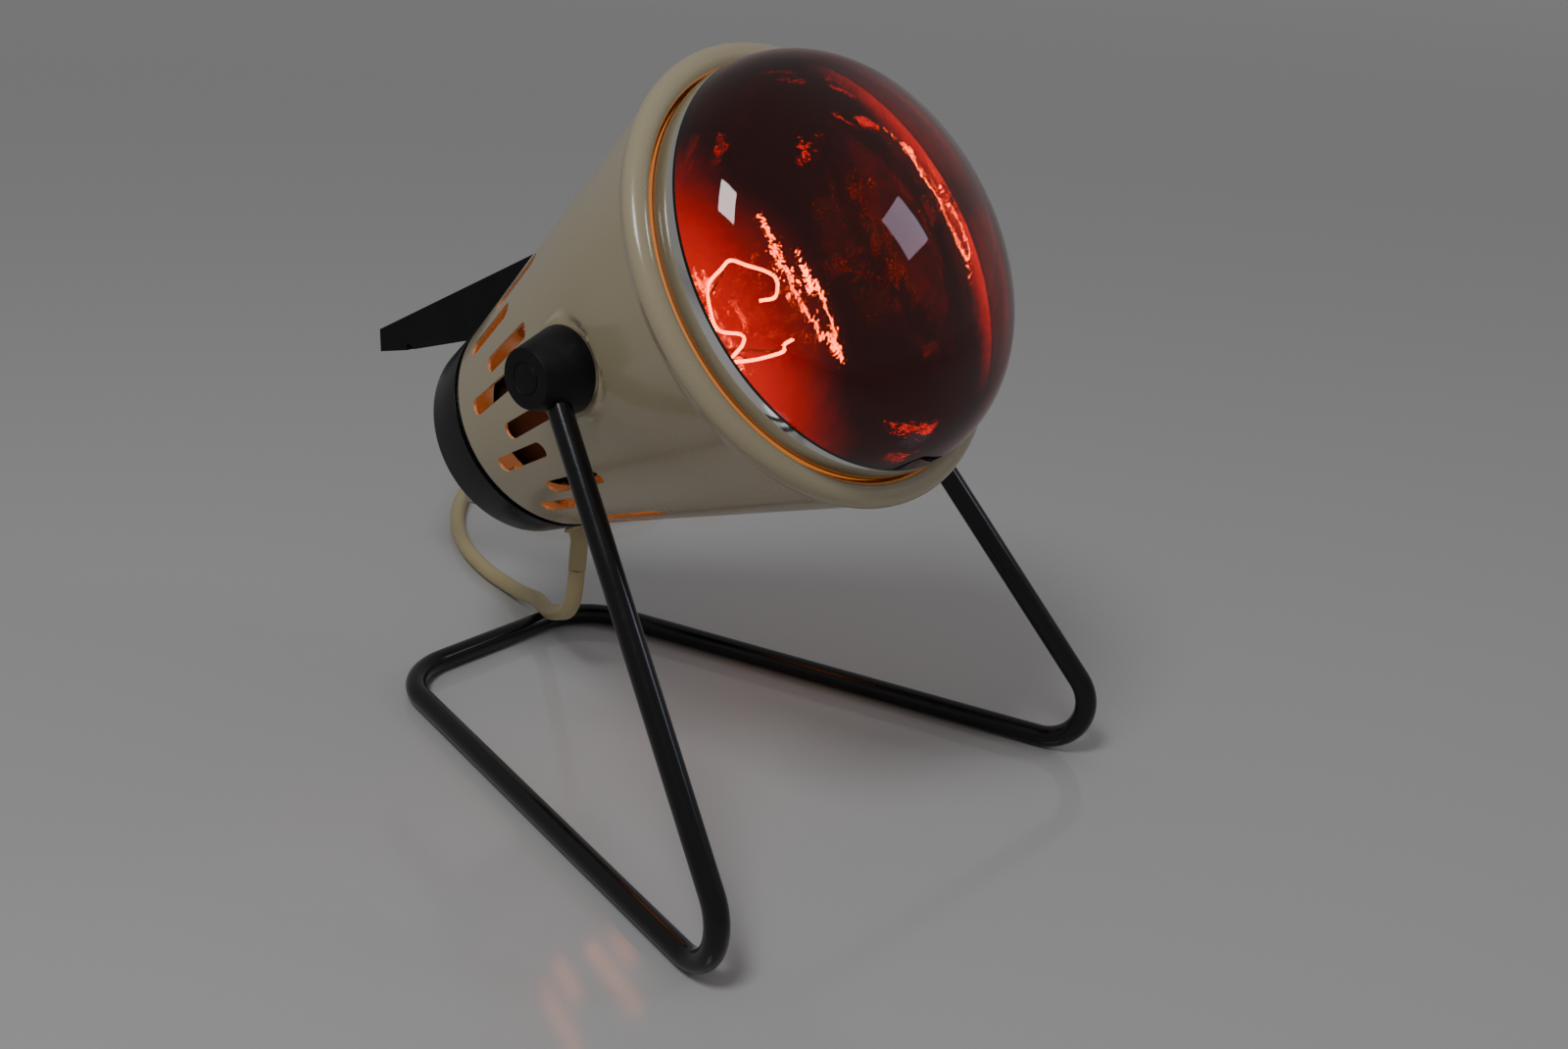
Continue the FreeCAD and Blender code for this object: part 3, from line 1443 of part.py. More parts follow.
def plug_body():
    body = new_body("plug_form")
    sketch = sketch_on(body, "plug_profile")
    outline(sketch, [
        (0, -s.plug_length),
        (s.plug_tail_radius, -s.plug_length),
        (s.plug_tail_radius, s.plug_tail_length - s.plug_length),
        (s.plug_waist_radius, -s.plug_waist_back),
        (s.plug_waist_radius, -s.plug_waist_front),
        (s.plug_radius, -s.plug_flange),
        (s.plug_radius, 0),
        (0, 0),
    ])
    turned(body, sketch)
    tools = []
    for side, name in ((1, "right"), (-1, "left")):
        tools.append(cylinder(f"pin_seat_{name}", s.pin_root_radius + s.pin_gap, s.pin_seat,
                              side * s.pin_spacing / 2, 0, -s.pin_seat))
        depth = s.clip_recess
        start = (s.plug_radius - depth) if side > 0 else -s.plug_radius - depth
        tools.append(block(f"clip_recess_{name}", s.clip_width + s.pin_gap * 2, 2 * depth,
                           s.clip_length * 2, -s.clip_width / 2 - s.pin_gap, start, -s.clip_length))
    return on_plug(cut("plug_body", body, *tools))


def plug_pins():
    # Each pin has a thinner root that is held in the plug
    pins = []
    for side, name in ((1, "right"), (-1, "left")):
        across = side * s.pin_spacing / 2
        root = cylinder(f"pin_root_{name}", s.pin_root_radius, s.pin_seat + s.pin_shoulder_gap, across, 0,
                        -s.pin_seat)
        shank = cylinder(f"pin_shank_{name}", s.pin_radius, s.pin_length - s.pin_shoulder_gap, across, 0,
                         s.pin_shoulder_gap)
        pins.append(fused(f"pin_{name}", root, shank))
    return on_plug(grouped("plug_pins", *pins))


def plug_earth_clips():
    clips = []
    for side, name in ((1, "right"), (-1, "left")):
        inner = s.plug_radius - s.clip_recess
        start = inner if side > 0 else -inner - s.clip_thickness
        clips.append(block(f"earth_clip_{name}", s.clip_width, s.clip_thickness, s.clip_length,
                           -s.clip_width / 2, start, -s.clip_length))
    return on_plug(grouped("plug_earth_clips", *clips))


# ---- The lamp ----

pieces = [stand_rod()]
for side, name in ((-1, "left"), (1, "right")):
    pieces.append(pivot_knob("pivot_knob_" + name, side))
    pieces.append(pivot_screw("pivot_screw_" + name, side))
    pieces.append(pivot_washer("pivot_washer_" + name, side))
    pieces.append(pivot_spring_washer("pivot_spring_washer_" + name, side))
pieces += [
    housing(), rear_cap(), cap_screws(), handle(), handle_screws(),
    bulb_red_dome(), bulb_reflector(), bulb_base_shell(), bulb_base_insulator(), bulb_tip_contact(),
    bulb_stem(), filament(), bulb_lead_wires(), filament_supports(),
    holder_body(), holder_shell(), holder_centre_contact(), holder_screws(), holder_terminals(),
    terminal_screws(), strain_relief(), cord_inner_end(), cord_clamp(), clamp_screws(),
    core_lead("live_lead", 1), core_lead("neutral_lead", -1), earth_tag(), earth_screw(), earth_lead(),
    cord_lead(), cord_coil(), cord_tail(), plug_body(), plug_pins(), plug_earth_clips(),
]
document.recompute()

for thing in document.Objects:
    if {"Invalid", "Error"} & set(thing.State):
        raise RuntimeError(f"{thing.Label} did not build: {thing.State}")
for piece in pieces:
    if piece.Shape.isNull() or not piece.Shape.isValid() or not piece.Shape.Solids:
        raise RuntimeError(f"{piece.Label} has no valid solid")

os.makedirs("parts", exist_ok=True)
for piece in pieces:
    piece.Shape.exportStep(os.path.join("parts", piece.Label + ".step"))
    print(piece.Label, len(piece.Shape.Solids), "solids", round(piece.Shape.Volume, 1), "mm3")
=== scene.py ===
import math

import bmesh
import bpy
from mathutils import Matrix, Vector


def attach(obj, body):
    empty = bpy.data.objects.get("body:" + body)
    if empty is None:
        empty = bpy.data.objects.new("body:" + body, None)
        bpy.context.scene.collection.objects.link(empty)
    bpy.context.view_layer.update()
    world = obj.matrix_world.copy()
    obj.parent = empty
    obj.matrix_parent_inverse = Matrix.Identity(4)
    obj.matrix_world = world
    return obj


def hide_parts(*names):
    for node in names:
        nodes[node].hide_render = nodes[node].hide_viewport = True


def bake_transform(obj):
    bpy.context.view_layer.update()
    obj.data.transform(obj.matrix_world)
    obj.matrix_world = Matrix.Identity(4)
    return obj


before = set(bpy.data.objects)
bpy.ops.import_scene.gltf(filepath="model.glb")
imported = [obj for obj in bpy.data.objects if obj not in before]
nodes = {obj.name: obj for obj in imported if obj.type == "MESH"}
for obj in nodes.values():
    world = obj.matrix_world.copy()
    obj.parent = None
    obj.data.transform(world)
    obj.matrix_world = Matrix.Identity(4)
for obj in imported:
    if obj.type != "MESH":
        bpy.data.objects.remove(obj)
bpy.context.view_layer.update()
mm = 0.001
print("heat lamp: frame loaded,", len(nodes), "solids")

# Camera and cord

viewCamera = {"place": (-393.4, -349.1, 294.4), "yaw": -51.505, "pitch": -22.133, "roll": 4.425,
              "lens": 41.15, "filmWidth": 36}


def placeCamera(settings):
    yaw, pitch, roll = (math.radians(settings[key]) for key in ("yaw", "pitch", "roll"))
    ahead = Vector((-math.sin(yaw) * math.cos(pitch), math.cos(yaw) * math.cos(pitch), math.sin(pitch)))
    right = ahead.cross(Vector((0, 0, 1))).normalized()
    up = right.cross(ahead)
    across = right * math.cos(roll) + up * math.sin(roll)
    upward = up * math.cos(roll) - right * math.sin(roll)
    data = bpy.data.cameras.new("workshopCamera")
    data.lens = settings["lens"]
    data.sensor_width = settings["filmWidth"]
    data.clip_start = 0.01
    camera = bpy.data.objects.new("workshopCamera", data)
    turn = Matrix((across, upward, -ahead)).transposed().to_4x4()
    camera.matrix_world = Matrix.Translation(Vector(settings["place"]) * mm) @ turn
    bpy.context.scene.collection.objects.link(camera)
    bpy.context.scene.camera = camera


placeCamera(viewCamera)

supplyCord = {
    "diameter": 5.8,
    "sides": 18,
    "reliefEnd": (-1.9, 50.15, 46.6),
    "route": [(-2.6, 50.0, 38.0), (0.6, 56.0, 28.0), (7.2, 67.0, 21.8), (14.0, 78.0, 15.5),
              (20.3, 88.0, 11.1), (25.8, 98.5, 10.2), (31.5, 110.5, 5.6), (36.0, 124.0, 2.9),
              (39.0, 142.0, 2.9), (47.0, 164.0, 2.9), (60.0, 185.5, 2.9), (79.5, 206.5, 2.9),
              (103.0, 222.0, 2.9)],
    "coilMiddle": (136.8, 190.2),
    "coilRings": (41.7, 35.9, 30.1, 24.3),
    "coilStart": 105.5,
    "pointsPerTurn": 18,
    "stepFrom": 0.82,  # share of a turn after which the cord moves to the next ring
    "dip": 2.0,  # how far it leans in while it climbs to the upper layer
    "layers": (2.9, 8.7),
    "tail": [(165.0, 219.0, 11.2), (175.5, 209.0, 16.6)],
    "plugEntry": (186.02, 199.8, 18.5),
    "bendsFrom": (-1.9, 50.15, 46.6),
    "bendsTo": (-1.9, 84.4, 43.6),
}


def coilPoints(settings):
    # Ring after ring inwards on the table, then outwards on top, each step to the next ring made at one side
    perTurn = settings["pointsPerTurn"]
    swell = 1 / math.cos(math.pi / perTurn)  # the line runs inside its points by this much
    low, high = settings["layers"]
    rings = list(settings["coilRings"])
    turns = [(ring, low) for ring in rings] + [(ring, high) for ring in reversed(rings)]
    points = []
    for k in range((len(turns) - 1) * perTurn + 3):
        turn, part = divmod(k / perTurn, 1)
        radius, level = turns[int(turn)]
        nextRadius, nextLevel = turns[min(int(turn) + 1, len(turns) - 1)]
        share = max(0, (part - settings["stepFrom"]) / (1 - settings["stepFrom"]))
        share = share * share * (3 - 2 * share)
        dip = settings["dip"] * math.sin(math.pi * share) if nextLevel != level else 0
        ring = radius + (nextRadius - radius) * share - dip
        angle = math.radians(settings["coilStart"]) - 2 * math.pi * k / perTurn
        points.append((settings["coilMiddle"][0] + ring * swell * math.cos(angle),
                       settings["coilMiddle"][1] + ring * swell * math.sin(angle),
                       level + (nextLevel - level) * share))
    return points


def smoothLine(points):
    # The centre line that a NURBS spline draws through the route
    curve = bpy.data.curves.new("centreLine", "CURVE")
    curve.dimensions = "3D"
    spline = curve.splines.new("NURBS")
    spline.points.add(len(points) - 1)
    for point, spot in zip(spline.points, points):
        point.co = (*(Vector(spot) * mm), 1)
    spline.order_u = 3
    spline.use_endpoint_u = True
    spline.resolution_u = 8
    line = bpy.data.objects.new("centreLine", curve)
    mesh = bpy.data.meshes.new_from_object(line)
    spots = [vertex.co.copy() for vertex in mesh.vertices]
    bpy.data.objects.remove(line)
    bpy.data.curves.remove(curve)
    bpy.data.meshes.remove(mesh)
    return spots


cordLine = smoothLine([supplyCord["reliefEnd"]] + supplyCord["route"] + coilPoints(supplyCord)
                      + supplyCord["tail"] + [supplyCord["plugEntry"]])

# Shapes

headTilt = math.radians(34)
inWorld = Matrix.Scale(mm, 4)
tiltAxis = Matrix.Translation((0, 0, 0.141))
inHead = tiltAxis @ Matrix.Rotation(math.pi / 2 - headTilt, 4, "X") @ inWorld


def outward(side):
    # A frame on the tilt axis whose z runs outwards through one knob
    return tiltAxis @ Matrix.Rotation(side * math.pi / 2, 4, "Y") @ inWorld


def arc(middle, height, radius, first, last, steps):
    angles = [math.radians(first + (last - first) * k / steps) for k in range(steps + 1)]
    return [(middle + radius * math.cos(a), height + radius * math.sin(a)) for a in angles]


def eased(corners, rounding, steps=3):
    # Rounds each corner of a closed outline, by its own third number or by the common rounding
    smooth = []
    for k, corner in enumerate(corners):
        here = Vector(corner[:2])
        before = Vector(corners[k - 1][:2]) - here
        after = Vector(corners[(k + 1) % len(corners)][:2]) - here
        reach = corner[2] if len(corner) > 2 else rounding
        reach = min(reach, before.length * 0.45, after.length * 0.45)
        if reach < 0.02 or here.x < 0.001:
            smooth.append(tuple(here))
            continue
        start, end = here + before.normalized() * reach, here + after.normalized() * reach
        for j in range(steps + 1):
            t = j / steps
            smooth.append(tuple(start * (1 - t) ** 2 + here * 2 * t * (1 - t) + end * t ** 2))
    return smooth


def turnOnLathe(bm, outline, steps):
    # A closed outline of radius and height, turned round the z axis
    turns = [2 * math.pi * k / steps for k in range(steps)]
    rings = []
    for radius, height in outline:
        if radius < 0.001:
            rings.append([bm.verts.new((0, 0, height))] * steps)
            continue
        rings.append([bm.verts.new((radius * math.cos(a), radius * math.sin(a), height)) for a in turns])
    for low, high in zip(rings, rings[1:] + rings[:1]):
        for k in range(steps):
            corners = list(dict.fromkeys([low[k], low[(k + 1) % steps], high[(k + 1) % steps], high[k]]))
            if len(corners) > 2:
                bm.faces.new(corners)


def sweep(bm, path, radii, steps):
    # A round bar along a path; radii is one number or one for each point
    path = [Vector(point) for point in path]
    if not hasattr(radii, "__len__"):
        radii = [radii] * len(path)
    ways = [(path[min(k + 1, len(path) - 1)] - path[max(k - 1, 0)]).normalized() for k in range(len(path))]
    side = ways[0].orthogonal().normalized()
    rings = []
    for point, way, radius in zip(path, ways, radii):
        side = (side - way * side.dot(way)).normalized()
        lift = way.cross(side)
        rings.append([bm.verts.new(point + (side * math.cos(a) + lift * math.sin(a)) * radius)
                      for a in (2 * math.pi * k / steps for k in range(steps))])
    for low, high in zip(rings, rings[1:]):
        for k in range(steps):
            bm.faces.new((low[k], low[(k + 1) % steps], high[(k + 1) % steps], high[k]))
    bm.faces.new(list(reversed(rings[0])))
    bm.faces.new(rings[-1])


def bentPath(corners, bends, steps=18):
    # Straight runs joined by round bends
    path = [Vector(corners[0])]
    for k, bend in enumerate(bends, start=1):
        here = Vector(corners[k])
        before = (Vector(corners[k - 1]) - here).normalized()
        after = (Vector(corners[k + 1]) - here).normalized()
        half = (math.pi - before.angle(after)) / 2
        middle = here + (before + after).normalized() * bend / math.cos(half)
        start = here + before * bend * math.tan(half) - middle
        end = here + after * bend * math.tan(half) - middle
        path += [middle + start.slerp(end, j / steps).normalized() * bend for j in range(steps + 1)]
    return path + [Vector(corners[-1])]


def plate(bm, outline, low, high):
    # A flat piece of any outline, between two heights
    sides = [[bm.verts.new((x, y, z)) for x, y in outline] for z in (low, high)]
    bm.faces.new(list(reversed(sides[0])))
    bm.faces.new(sides[1])
    for k in range(len(outline)):
        n = (k + 1) % len(outline)
        bm.faces.new((sides[0][k], sides[0][n], sides[1][n], sides[1][k]))


def addTo(bm, part):
    # Puts another shape into this one
    mesh = bpy.data.meshes.new("part")
    part.to_mesh(mesh)
    part.free()
    bm.from_mesh(mesh)
    bpy.data.meshes.remove(mesh)


def piece(name, bm, frameOfPiece, material, body, slotName, *cadNodes, crease=35):
    bmesh.ops.recalc_face_normals(bm, faces=bm.faces)
    mesh = bpy.data.meshes.new(name)
    bm.to_mesh(mesh)
    bm.free()
    mesh.transform(frameOfPiece)
    mesh.materials.append(material)
    made = bpy.data.objects.new(name, mesh)
    bpy.context.scene.collection.objects.link(made)
    smoothed(made, crease)
    if isinstance(body, str):
        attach(made, body)
    else:
        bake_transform(made)  # two bodies and two bend points are passed, but not used: the piece is only baked in place
    if cadNodes:
        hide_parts(*cadNodes)
    return made


def smoothed(made, crease):
    made.data.shade_smooth()
    made.data.set_sharp_from_angle(angle=math.radians(crease))


def carve(target, cutters):
    # Takes the cutters' volume out of the target
    mesh = bpy.data.meshes.new("cutters")
    bmesh.ops.recalc_face_normals(cutters, faces=cutters.faces)
    cutters.to_mesh(mesh)
    cutters.free()
    tool = bpy.data.objects.new("cutters", mesh)
    bpy.context.scene.collection.objects.link(tool)
    change = target.modifiers.new("slots", "BOOLEAN")
    change.operation = "DIFFERENCE"
    change.solver = "EXACT"
    change.object = tool
    result = bpy.data.meshes.new_from_object(target.evaluated_get(bpy.context.evaluated_depsgraph_get()))
    target.modifiers.clear()
    target.data = result
    bpy.data.objects.remove(tool)


# Finishes

def newGroup(name, inputs, outputs):
    group = bpy.data.node_groups.new(name, "ShaderNodeTree")
    for label, kind, value in inputs:
        socket = group.interface.new_socket(label, in_out="INPUT", socket_type=kind)
        socket.default_value = value
    for label, kind in outputs:
        group.interface.new_socket(label, in_out="OUTPUT", socket_type=kind)
    return group, group.nodes.new("NodeGroupInput"), group.nodes.new("NodeGroupOutput")


def unevenness():
    # Slow and fine variation of one value over the surface, such as gloss
    group, given, out = newGroup(
        "unevenness",
        [("Scale", "NodeSocketFloat", 60.0), ("Low", "NodeSocketFloat", 0.2),
         ("High", "NodeSocketFloat", 0.4), ("Fine Scale", "NodeSocketFloat", 900.0)],
        [("Value", "NodeSocketFloat"), ("Mask", "NodeSocketFloat")])
    place = group.nodes.new("ShaderNodeTexCoord")
    broad, fine = group.nodes.new("ShaderNodeTexNoise"), group.nodes.new("ShaderNodeTexNoise")
    broad.inputs["Detail"].default_value = 4
    mixed = group.nodes.new("ShaderNodeMath")
    mixed.operation = "MULTIPLY_ADD"
    mixed.inputs[1].default_value = 0.35
    spread = group.nodes.new("ShaderNodeMapRange")
    spread.inputs["From Min"].default_value = 0.5
    spread.inputs["From Max"].default_value = 0.85
    link = group.links.new
    link(place.outputs["Object"], broad.inputs["Vector"])
    link(place.outputs["Object"], fine.inputs["Vector"])
    link(given.outputs["Scale"], broad.inputs["Scale"])
    link(given.outputs["Fine Scale"], fine.inputs["Scale"])
    link(fine.outputs[0], mixed.inputs[0])
    link(broad.outputs[0], mixed.inputs[2])
    link(mixed.outputs[0], spread.inputs["Value"])
    link(given.outputs["Low"], spread.inputs["To Min"])
    link(given.outputs["High"], spread.inputs["To Max"])
    link(spread.outputs[0], out.inputs["Value"])
    link(mixed.outputs[0], out.inputs["Mask"])
    return group


def settledDust():
    # Thin pale dust that lies on upward faces and in patches
    group, given, out = newGroup(
        "settledDust",
        [("Color", "NodeSocketColor", (0.1, 0.1, 0.1, 1)), ("Dust", "NodeSocketColor", (0.4, 0.38, 0.34, 1)),
         ("Amount", "NodeSocketFloat", 0.08), ("Scale", "NodeSocketFloat", 220.0)],
        [("Color", "NodeSocketColor"), ("Mask", "NodeSocketFloat")])
    place = group.nodes.new("ShaderNodeTexCoord")
    facing = group.nodes.new("ShaderNodeNewGeometry")
    split = group.nodes.new("ShaderNodeSeparateXYZ")
    up = group.nodes.new("ShaderNodeMapRange")
    up.inputs["From Min"].default_value = -0.2
    specks = group.nodes.new("ShaderNodeTexNoise")
    specks.inputs["Detail"].default_value = 6
    patchy = group.nodes.new("ShaderNodeMapRange")
    patchy.inputs["From Min"].default_value = 0.42
    patchy.inputs["From Max"].default_value = 0.75
    both, amount = group.nodes.new("ShaderNodeMath"), group.nodes.new("ShaderNodeMath")
    both.operation = amount.operation = "MULTIPLY"
    mix = group.nodes.new("ShaderNodeMix")
    mix.data_type = "RGBA"
    link = group.links.new
    link(place.outputs["Object"], specks.inputs["Vector"])
    link(given.outputs["Scale"], specks.inputs["Scale"])
    link(facing.outputs["Normal"], split.inputs[0])
    link(split.outputs["Z"], up.inputs["Value"])
    link(specks.outputs[0], patchy.inputs["Value"])
    link(up.outputs[0], both.inputs[0])
    link(patchy.outputs[0], both.inputs[1])
    link(both.outputs[0], amount.inputs[0])
    link(given.outputs["Amount"], amount.inputs[1])
    link(amount.outputs[0], mix.inputs["Factor"])
    link(given.outputs["Color"], mix.inputs["A"])
    link(given.outputs["Dust"], mix.inputs["B"])
    link(mix.outputs["Result"], out.inputs["Color"])
    link(amount.outputs[0], out.inputs["Mask"])
    return group


def ripple():
    # Fine relief, from paint's orange peel to the skin of a moulding
    group, given, out = newGroup(
        "ripple",
        [("Scale", "NodeSocketFloat", 400.0), ("Strength", "NodeSocketFloat", 0.1),
         ("Depth", "NodeSocketFloat", 0.0002)],
        [("Normal", "NodeSocketVector")])
    place = group.nodes.new("ShaderNodeTexCoord")
    noise = group.nodes.new("ShaderNodeTexNoise")
    noise.inputs["Detail"].default_value = 3
    bump = group.nodes.new("ShaderNodeBump")
    link = group.links.new
    link(place.outputs["Object"], noise.inputs["Vector"])
    link(given.outputs["Scale"], noise.inputs["Scale"])
    link(noise.outputs[0], bump.inputs["Height"])
    link(given.outputs["Strength"], bump.inputs["Strength"])
    link(given.outputs["Depth"], bump.inputs["Distance"])
    link(bump.outputs[0], out.inputs["Normal"])
    return group


def axisFade():
    # A value that changes along the head's axis, from Low at height From to High at height To
    group, given, out = newGroup(
        "axisFade",
        [("From", "NodeSocketFloat", 0.0), ("To", "NodeSocketFloat", 0.02), ("Low", "NodeSocketFloat", 0.0),
         ("High", "NodeSocketFloat", 1.0)],
        [("Value", "NodeSocketFloat")])
    place = group.nodes.new("ShaderNodeTexCoord")
    offset, along = group.nodes.new("ShaderNodeVectorMath"), group.nodes.new("ShaderNodeVectorMath")
    offset.operation = "SUBTRACT"
    offset.inputs[1].default_value = inHead.translation
    along.operation = "DOT_PRODUCT"
    along.inputs[1].default_value = inHead.col[2].xyz.normalized()
    spread = group.nodes.new("ShaderNodeMapRange")
    spread.interpolation_type = "SMOOTHSTEP"
    link = group.links.new
    link(place.outputs["Object"], offset.inputs[0])
    link(offset.outputs[0], along.inputs[0])
    link(along.outputs["Value"], spread.inputs["Value"])
    link(given.outputs["From"], spread.inputs["From Min"])
    link(given.outputs["To"], spread.inputs["From Max"])
    link(given.outputs["Low"], spread.inputs["To Min"])
    link(given.outputs["High"], spread.inputs["To Max"])
    link(spread.outputs[0], out.inputs["Value"])
    return group


def paintChips():
    # Sparse specks where a coat has come off
    group, given, out = newGroup(
        "paintChips",
        [("Color", "NodeSocketColor", (0.5, 0.5, 0.5, 1)),
         ("Bare", "NodeSocketColor", (0.06, 0.05, 0.045, 1)),
         ("Scale", "NodeSocketFloat", 60.0), ("Size", "NodeSocketFloat", 0.05),
         ("Share", "NodeSocketFloat", 0.2), ("Zone", "NodeSocketFloat", 1.0)],
        [("Color", "NodeSocketColor")])
    place = group.nodes.new("ShaderNodeTexCoord")
    ragged = group.nodes.new("ShaderNodeTexNoise")
    ragged.inputs["Scale"].default_value = 900
    cells = group.nodes.new("ShaderNodeTexVoronoi")
    nudge = group.nodes.new("ShaderNodeMath")
    nudge.operation = "MULTIPLY_ADD"
    nudge.inputs[1].default_value = 0.05
    near, chosen = group.nodes.new("ShaderNodeMath"), group.nodes.new("ShaderNodeMath")
    near.operation = chosen.operation = "LESS_THAN"
    both, zoned = group.nodes.new("ShaderNodeMath"), group.nodes.new("ShaderNodeMath")
    both.operation = zoned.operation = "MULTIPLY"
    split = group.nodes.new("ShaderNodeSeparateColor")
    mix = group.nodes.new("ShaderNodeMix")
    mix.data_type = "RGBA"
    link = group.links.new
    link(place.outputs["Object"], cells.inputs["Vector"])
    link(place.outputs["Object"], ragged.inputs["Vector"])
    link(given.outputs["Scale"], cells.inputs["Scale"])
    link(ragged.outputs[0], nudge.inputs[0])
    link(cells.outputs["Distance"], nudge.inputs[2])
    link(nudge.outputs[0], near.inputs[0])
    link(given.outputs["Size"], near.inputs[1])
    link(cells.outputs["Color"], split.inputs[0])
    link(split.outputs[0], chosen.inputs[0])
    link(given.outputs["Share"], chosen.inputs[1])
    link(near.outputs[0], both.inputs[0])
    link(chosen.outputs[0], both.inputs[1])
    link(both.outputs[0], zoned.inputs[0])
    link(given.outputs["Zone"], zoned.inputs[1])
    link(zoned.outputs[0], mix.inputs["Factor"])
    link(given.outputs["Color"], mix.inputs["A"])
    link(given.outputs["Bare"], mix.inputs["B"])
    link(mix.outputs["Result"], out.inputs["Color"])
    return group


groups = {"unevenness": unevenness(), "settledDust": settledDust(), "ripple": ripple(),
          "axisFade": axisFade(), "paintChips": paintChips()}


def effect(material, name, **values):
    node = material.node_tree.nodes.new("ShaderNodeGroup")
    node.node_tree = groups[name]
    for label, value in values.items():
        node.inputs[label.replace("_", " ")].default_value = value
    return node


def finishOf(name, color, rough, dust=0.0, relief=(400.0, 0.12, 0.0002), patches=60.0, **fixed):
    # A surface with uneven gloss, fine relief and perhaps some dust. rough is the lowest and highest
    # roughness, relief its scale, strength and depth; fixed values go straight to the shader
    material = bpy.data.materials.new(name)
    material.use_nodes = True
    tree = material.node_tree
    shader = tree.nodes["Principled BSDF"]
    shader.inputs["Base Color"].default_value = (*color, 1)
    for label, value in fixed.items():
        shader.inputs[label.replace("_", " ")].default_value = value
    gloss = effect(material, "unevenness", Scale=patches, Low=rough[0], High=rough[1])
    skin = effect(material, "ripple", Scale=relief[0], Strength=relief[1], Depth=relief[2])
    tree.links.new(gloss.outputs["Value"], shader.inputs["Roughness"])
    tree.links.new(skin.outputs["Normal"], shader.inputs["Normal"])
    if dust:
        cover = effect(material, "settledDust", Color=(*color, 1), Amount=dust)
        tree.links.new(cover.outputs["Color"], shader.inputs["Base Color"])
    return material


creamPaint = finishOf("creamPaint", (0.46, 0.385, 0.245), (0.18, 0.28), 0.03, (260.0, 0.08, 0.0002),
                      Coat_Weight=0.3, Coat_Roughness=0.1)
chips = effect(creamPaint, "paintChips", Scale=70.0, Size=0.085, Share=0.22)
rimZone = effect(creamPaint, "axisFade", From=0.03, To=0.036)
creamLink = creamPaint.node_tree.links.new
creamColor = creamPaint.node_tree.nodes["Principled BSDF"].inputs["Base Color"]
creamLink(rimZone.outputs["Value"], chips.inputs["Zone"])
creamLink(creamColor.links[0].from_socket, chips.inputs["Color"])
creamLink(chips.outputs["Color"], creamColor)
blackLacquer = finishOf("blackLacquer", (0.004, 0.004, 0.005), (0.14, 0.26), 0.0, (500.0, 0.1, 0.0001),
                        Specular_IOR_Level=0.4, Coat_Weight=0.1, Coat_Roughness=0.08)
blackMoulding = finishOf("blackMoulding", (0.006, 0.005, 0.006), (0.42, 0.55), 0.02, (900.0, 0.25, 0.0001),
                         Specular_IOR_Level=0.28)
capBlack = finishOf("capBlack", (0.004, 0.004, 0.005), (0.2, 0.34), 0.01, (700.0, 0.12, 0.0001),
                    Specular_IOR_Level=0.3)
handleBlack = finishOf("handleBlack", (0.006, 0.006, 0.007), (0.5, 0.65), 0.03, (900.0, 0.25, 0.0001),
                       Specular_IOR_Level=0.25)
creamFlex = finishOf("creamFlex", (0.52, 0.42, 0.22), (0.35, 0.5), 0.04, (700.0, 0.15, 0.0002))
nickel = finishOf("nickelPlate", (0.62, 0.6, 0.57), (0.12, 0.3), 0.02, (600.0, 0.1, 0.0001), Metallic=1.0)
steel = finishOf("zincedSteel", (0.5, 0.5, 0.49), (0.25, 0.42), 0.04, (800.0, 0.2, 0.0001), Metallic=1.0)
brass = finishOf("socketBrass", (0.66, 0.48, 0.2), (0.22, 0.4), 0.04, (600.0, 0.15, 0.0001), Metallic=1.0)
ceramic = finishOf("holderCeramic", (0.07, 0.055, 0.05), (0.35, 0.5), 0.1, (500.0, 0.15, 0.0002))
brownCore = finishOf("brownCore", (0.12, 0.045, 0.02), (0.35, 0.45))
blueCore = finishOf("blueCore", (0.03, 0.1, 0.35), (0.35, 0.45))
greenCore = finishOf("greenCore", (0.25, 0.42, 0.05), (0.35, 0.45))
clearGlass = finishOf("clearGlass", (0.95, 0.96, 0.95), (0.01, 0.03), 0.0, (80.0, 0.05, 0.0003),
                      Transmission_Weight=1.0, IOR=1.5)
rubyGlass = finishOf("rubyGlass", (0.3, 0.022, 0.0012), (0.01, 0.03), 0.0, (40.0, 0.06, 0.0006),
                     Transmission_Weight=1.0, IOR=1.5)
seamBlack = finishOf("seamBlack", (0.004, 0.003, 0.003), (0.2, 0.3))
silvering = finishOf("silvering", (0.8, 0.79, 0.76), (0.03, 0.09), 0.0, (90.0, 0.1, 0.0005), Metallic=1.0)
# Mirror with a painted orange-red glow on its inner face, strongest near the filament and fading towards the
# dome: painted reflection of the hot filament
mirrorPaintedGlow = finishOf("mirrorPaintedGlow", (0.8, 0.79, 0.76), (0.02, 0.06), 0.0, (170.0, 0.34, 0.0005), Metallic=1.0,
                      Emission_Color=(1.0, 0.05, 0.02, 1))
paintedGlowFade = effect(mirrorPaintedGlow, "axisFade", From=-0.014, To=0.019, Low=1.3, High=0.0)
mirrorShader = mirrorPaintedGlow.node_tree.nodes["Principled BSDF"]
mirrorPaintedGlow.node_tree.links.new(paintedGlowFade.outputs["Value"], mirrorShader.inputs["Emission Strength"])
# Painted glow on the bulb's neck, standing in for light that passes the unsilvered glass
neckPaintedGlow = finishOf("neckPaintedGlow", (0.5, 0.3, 0.15), (0.3, 0.5), Emission_Color=(1.0, 0.24, 0.035, 1),
                    Emission_Strength=3.0)
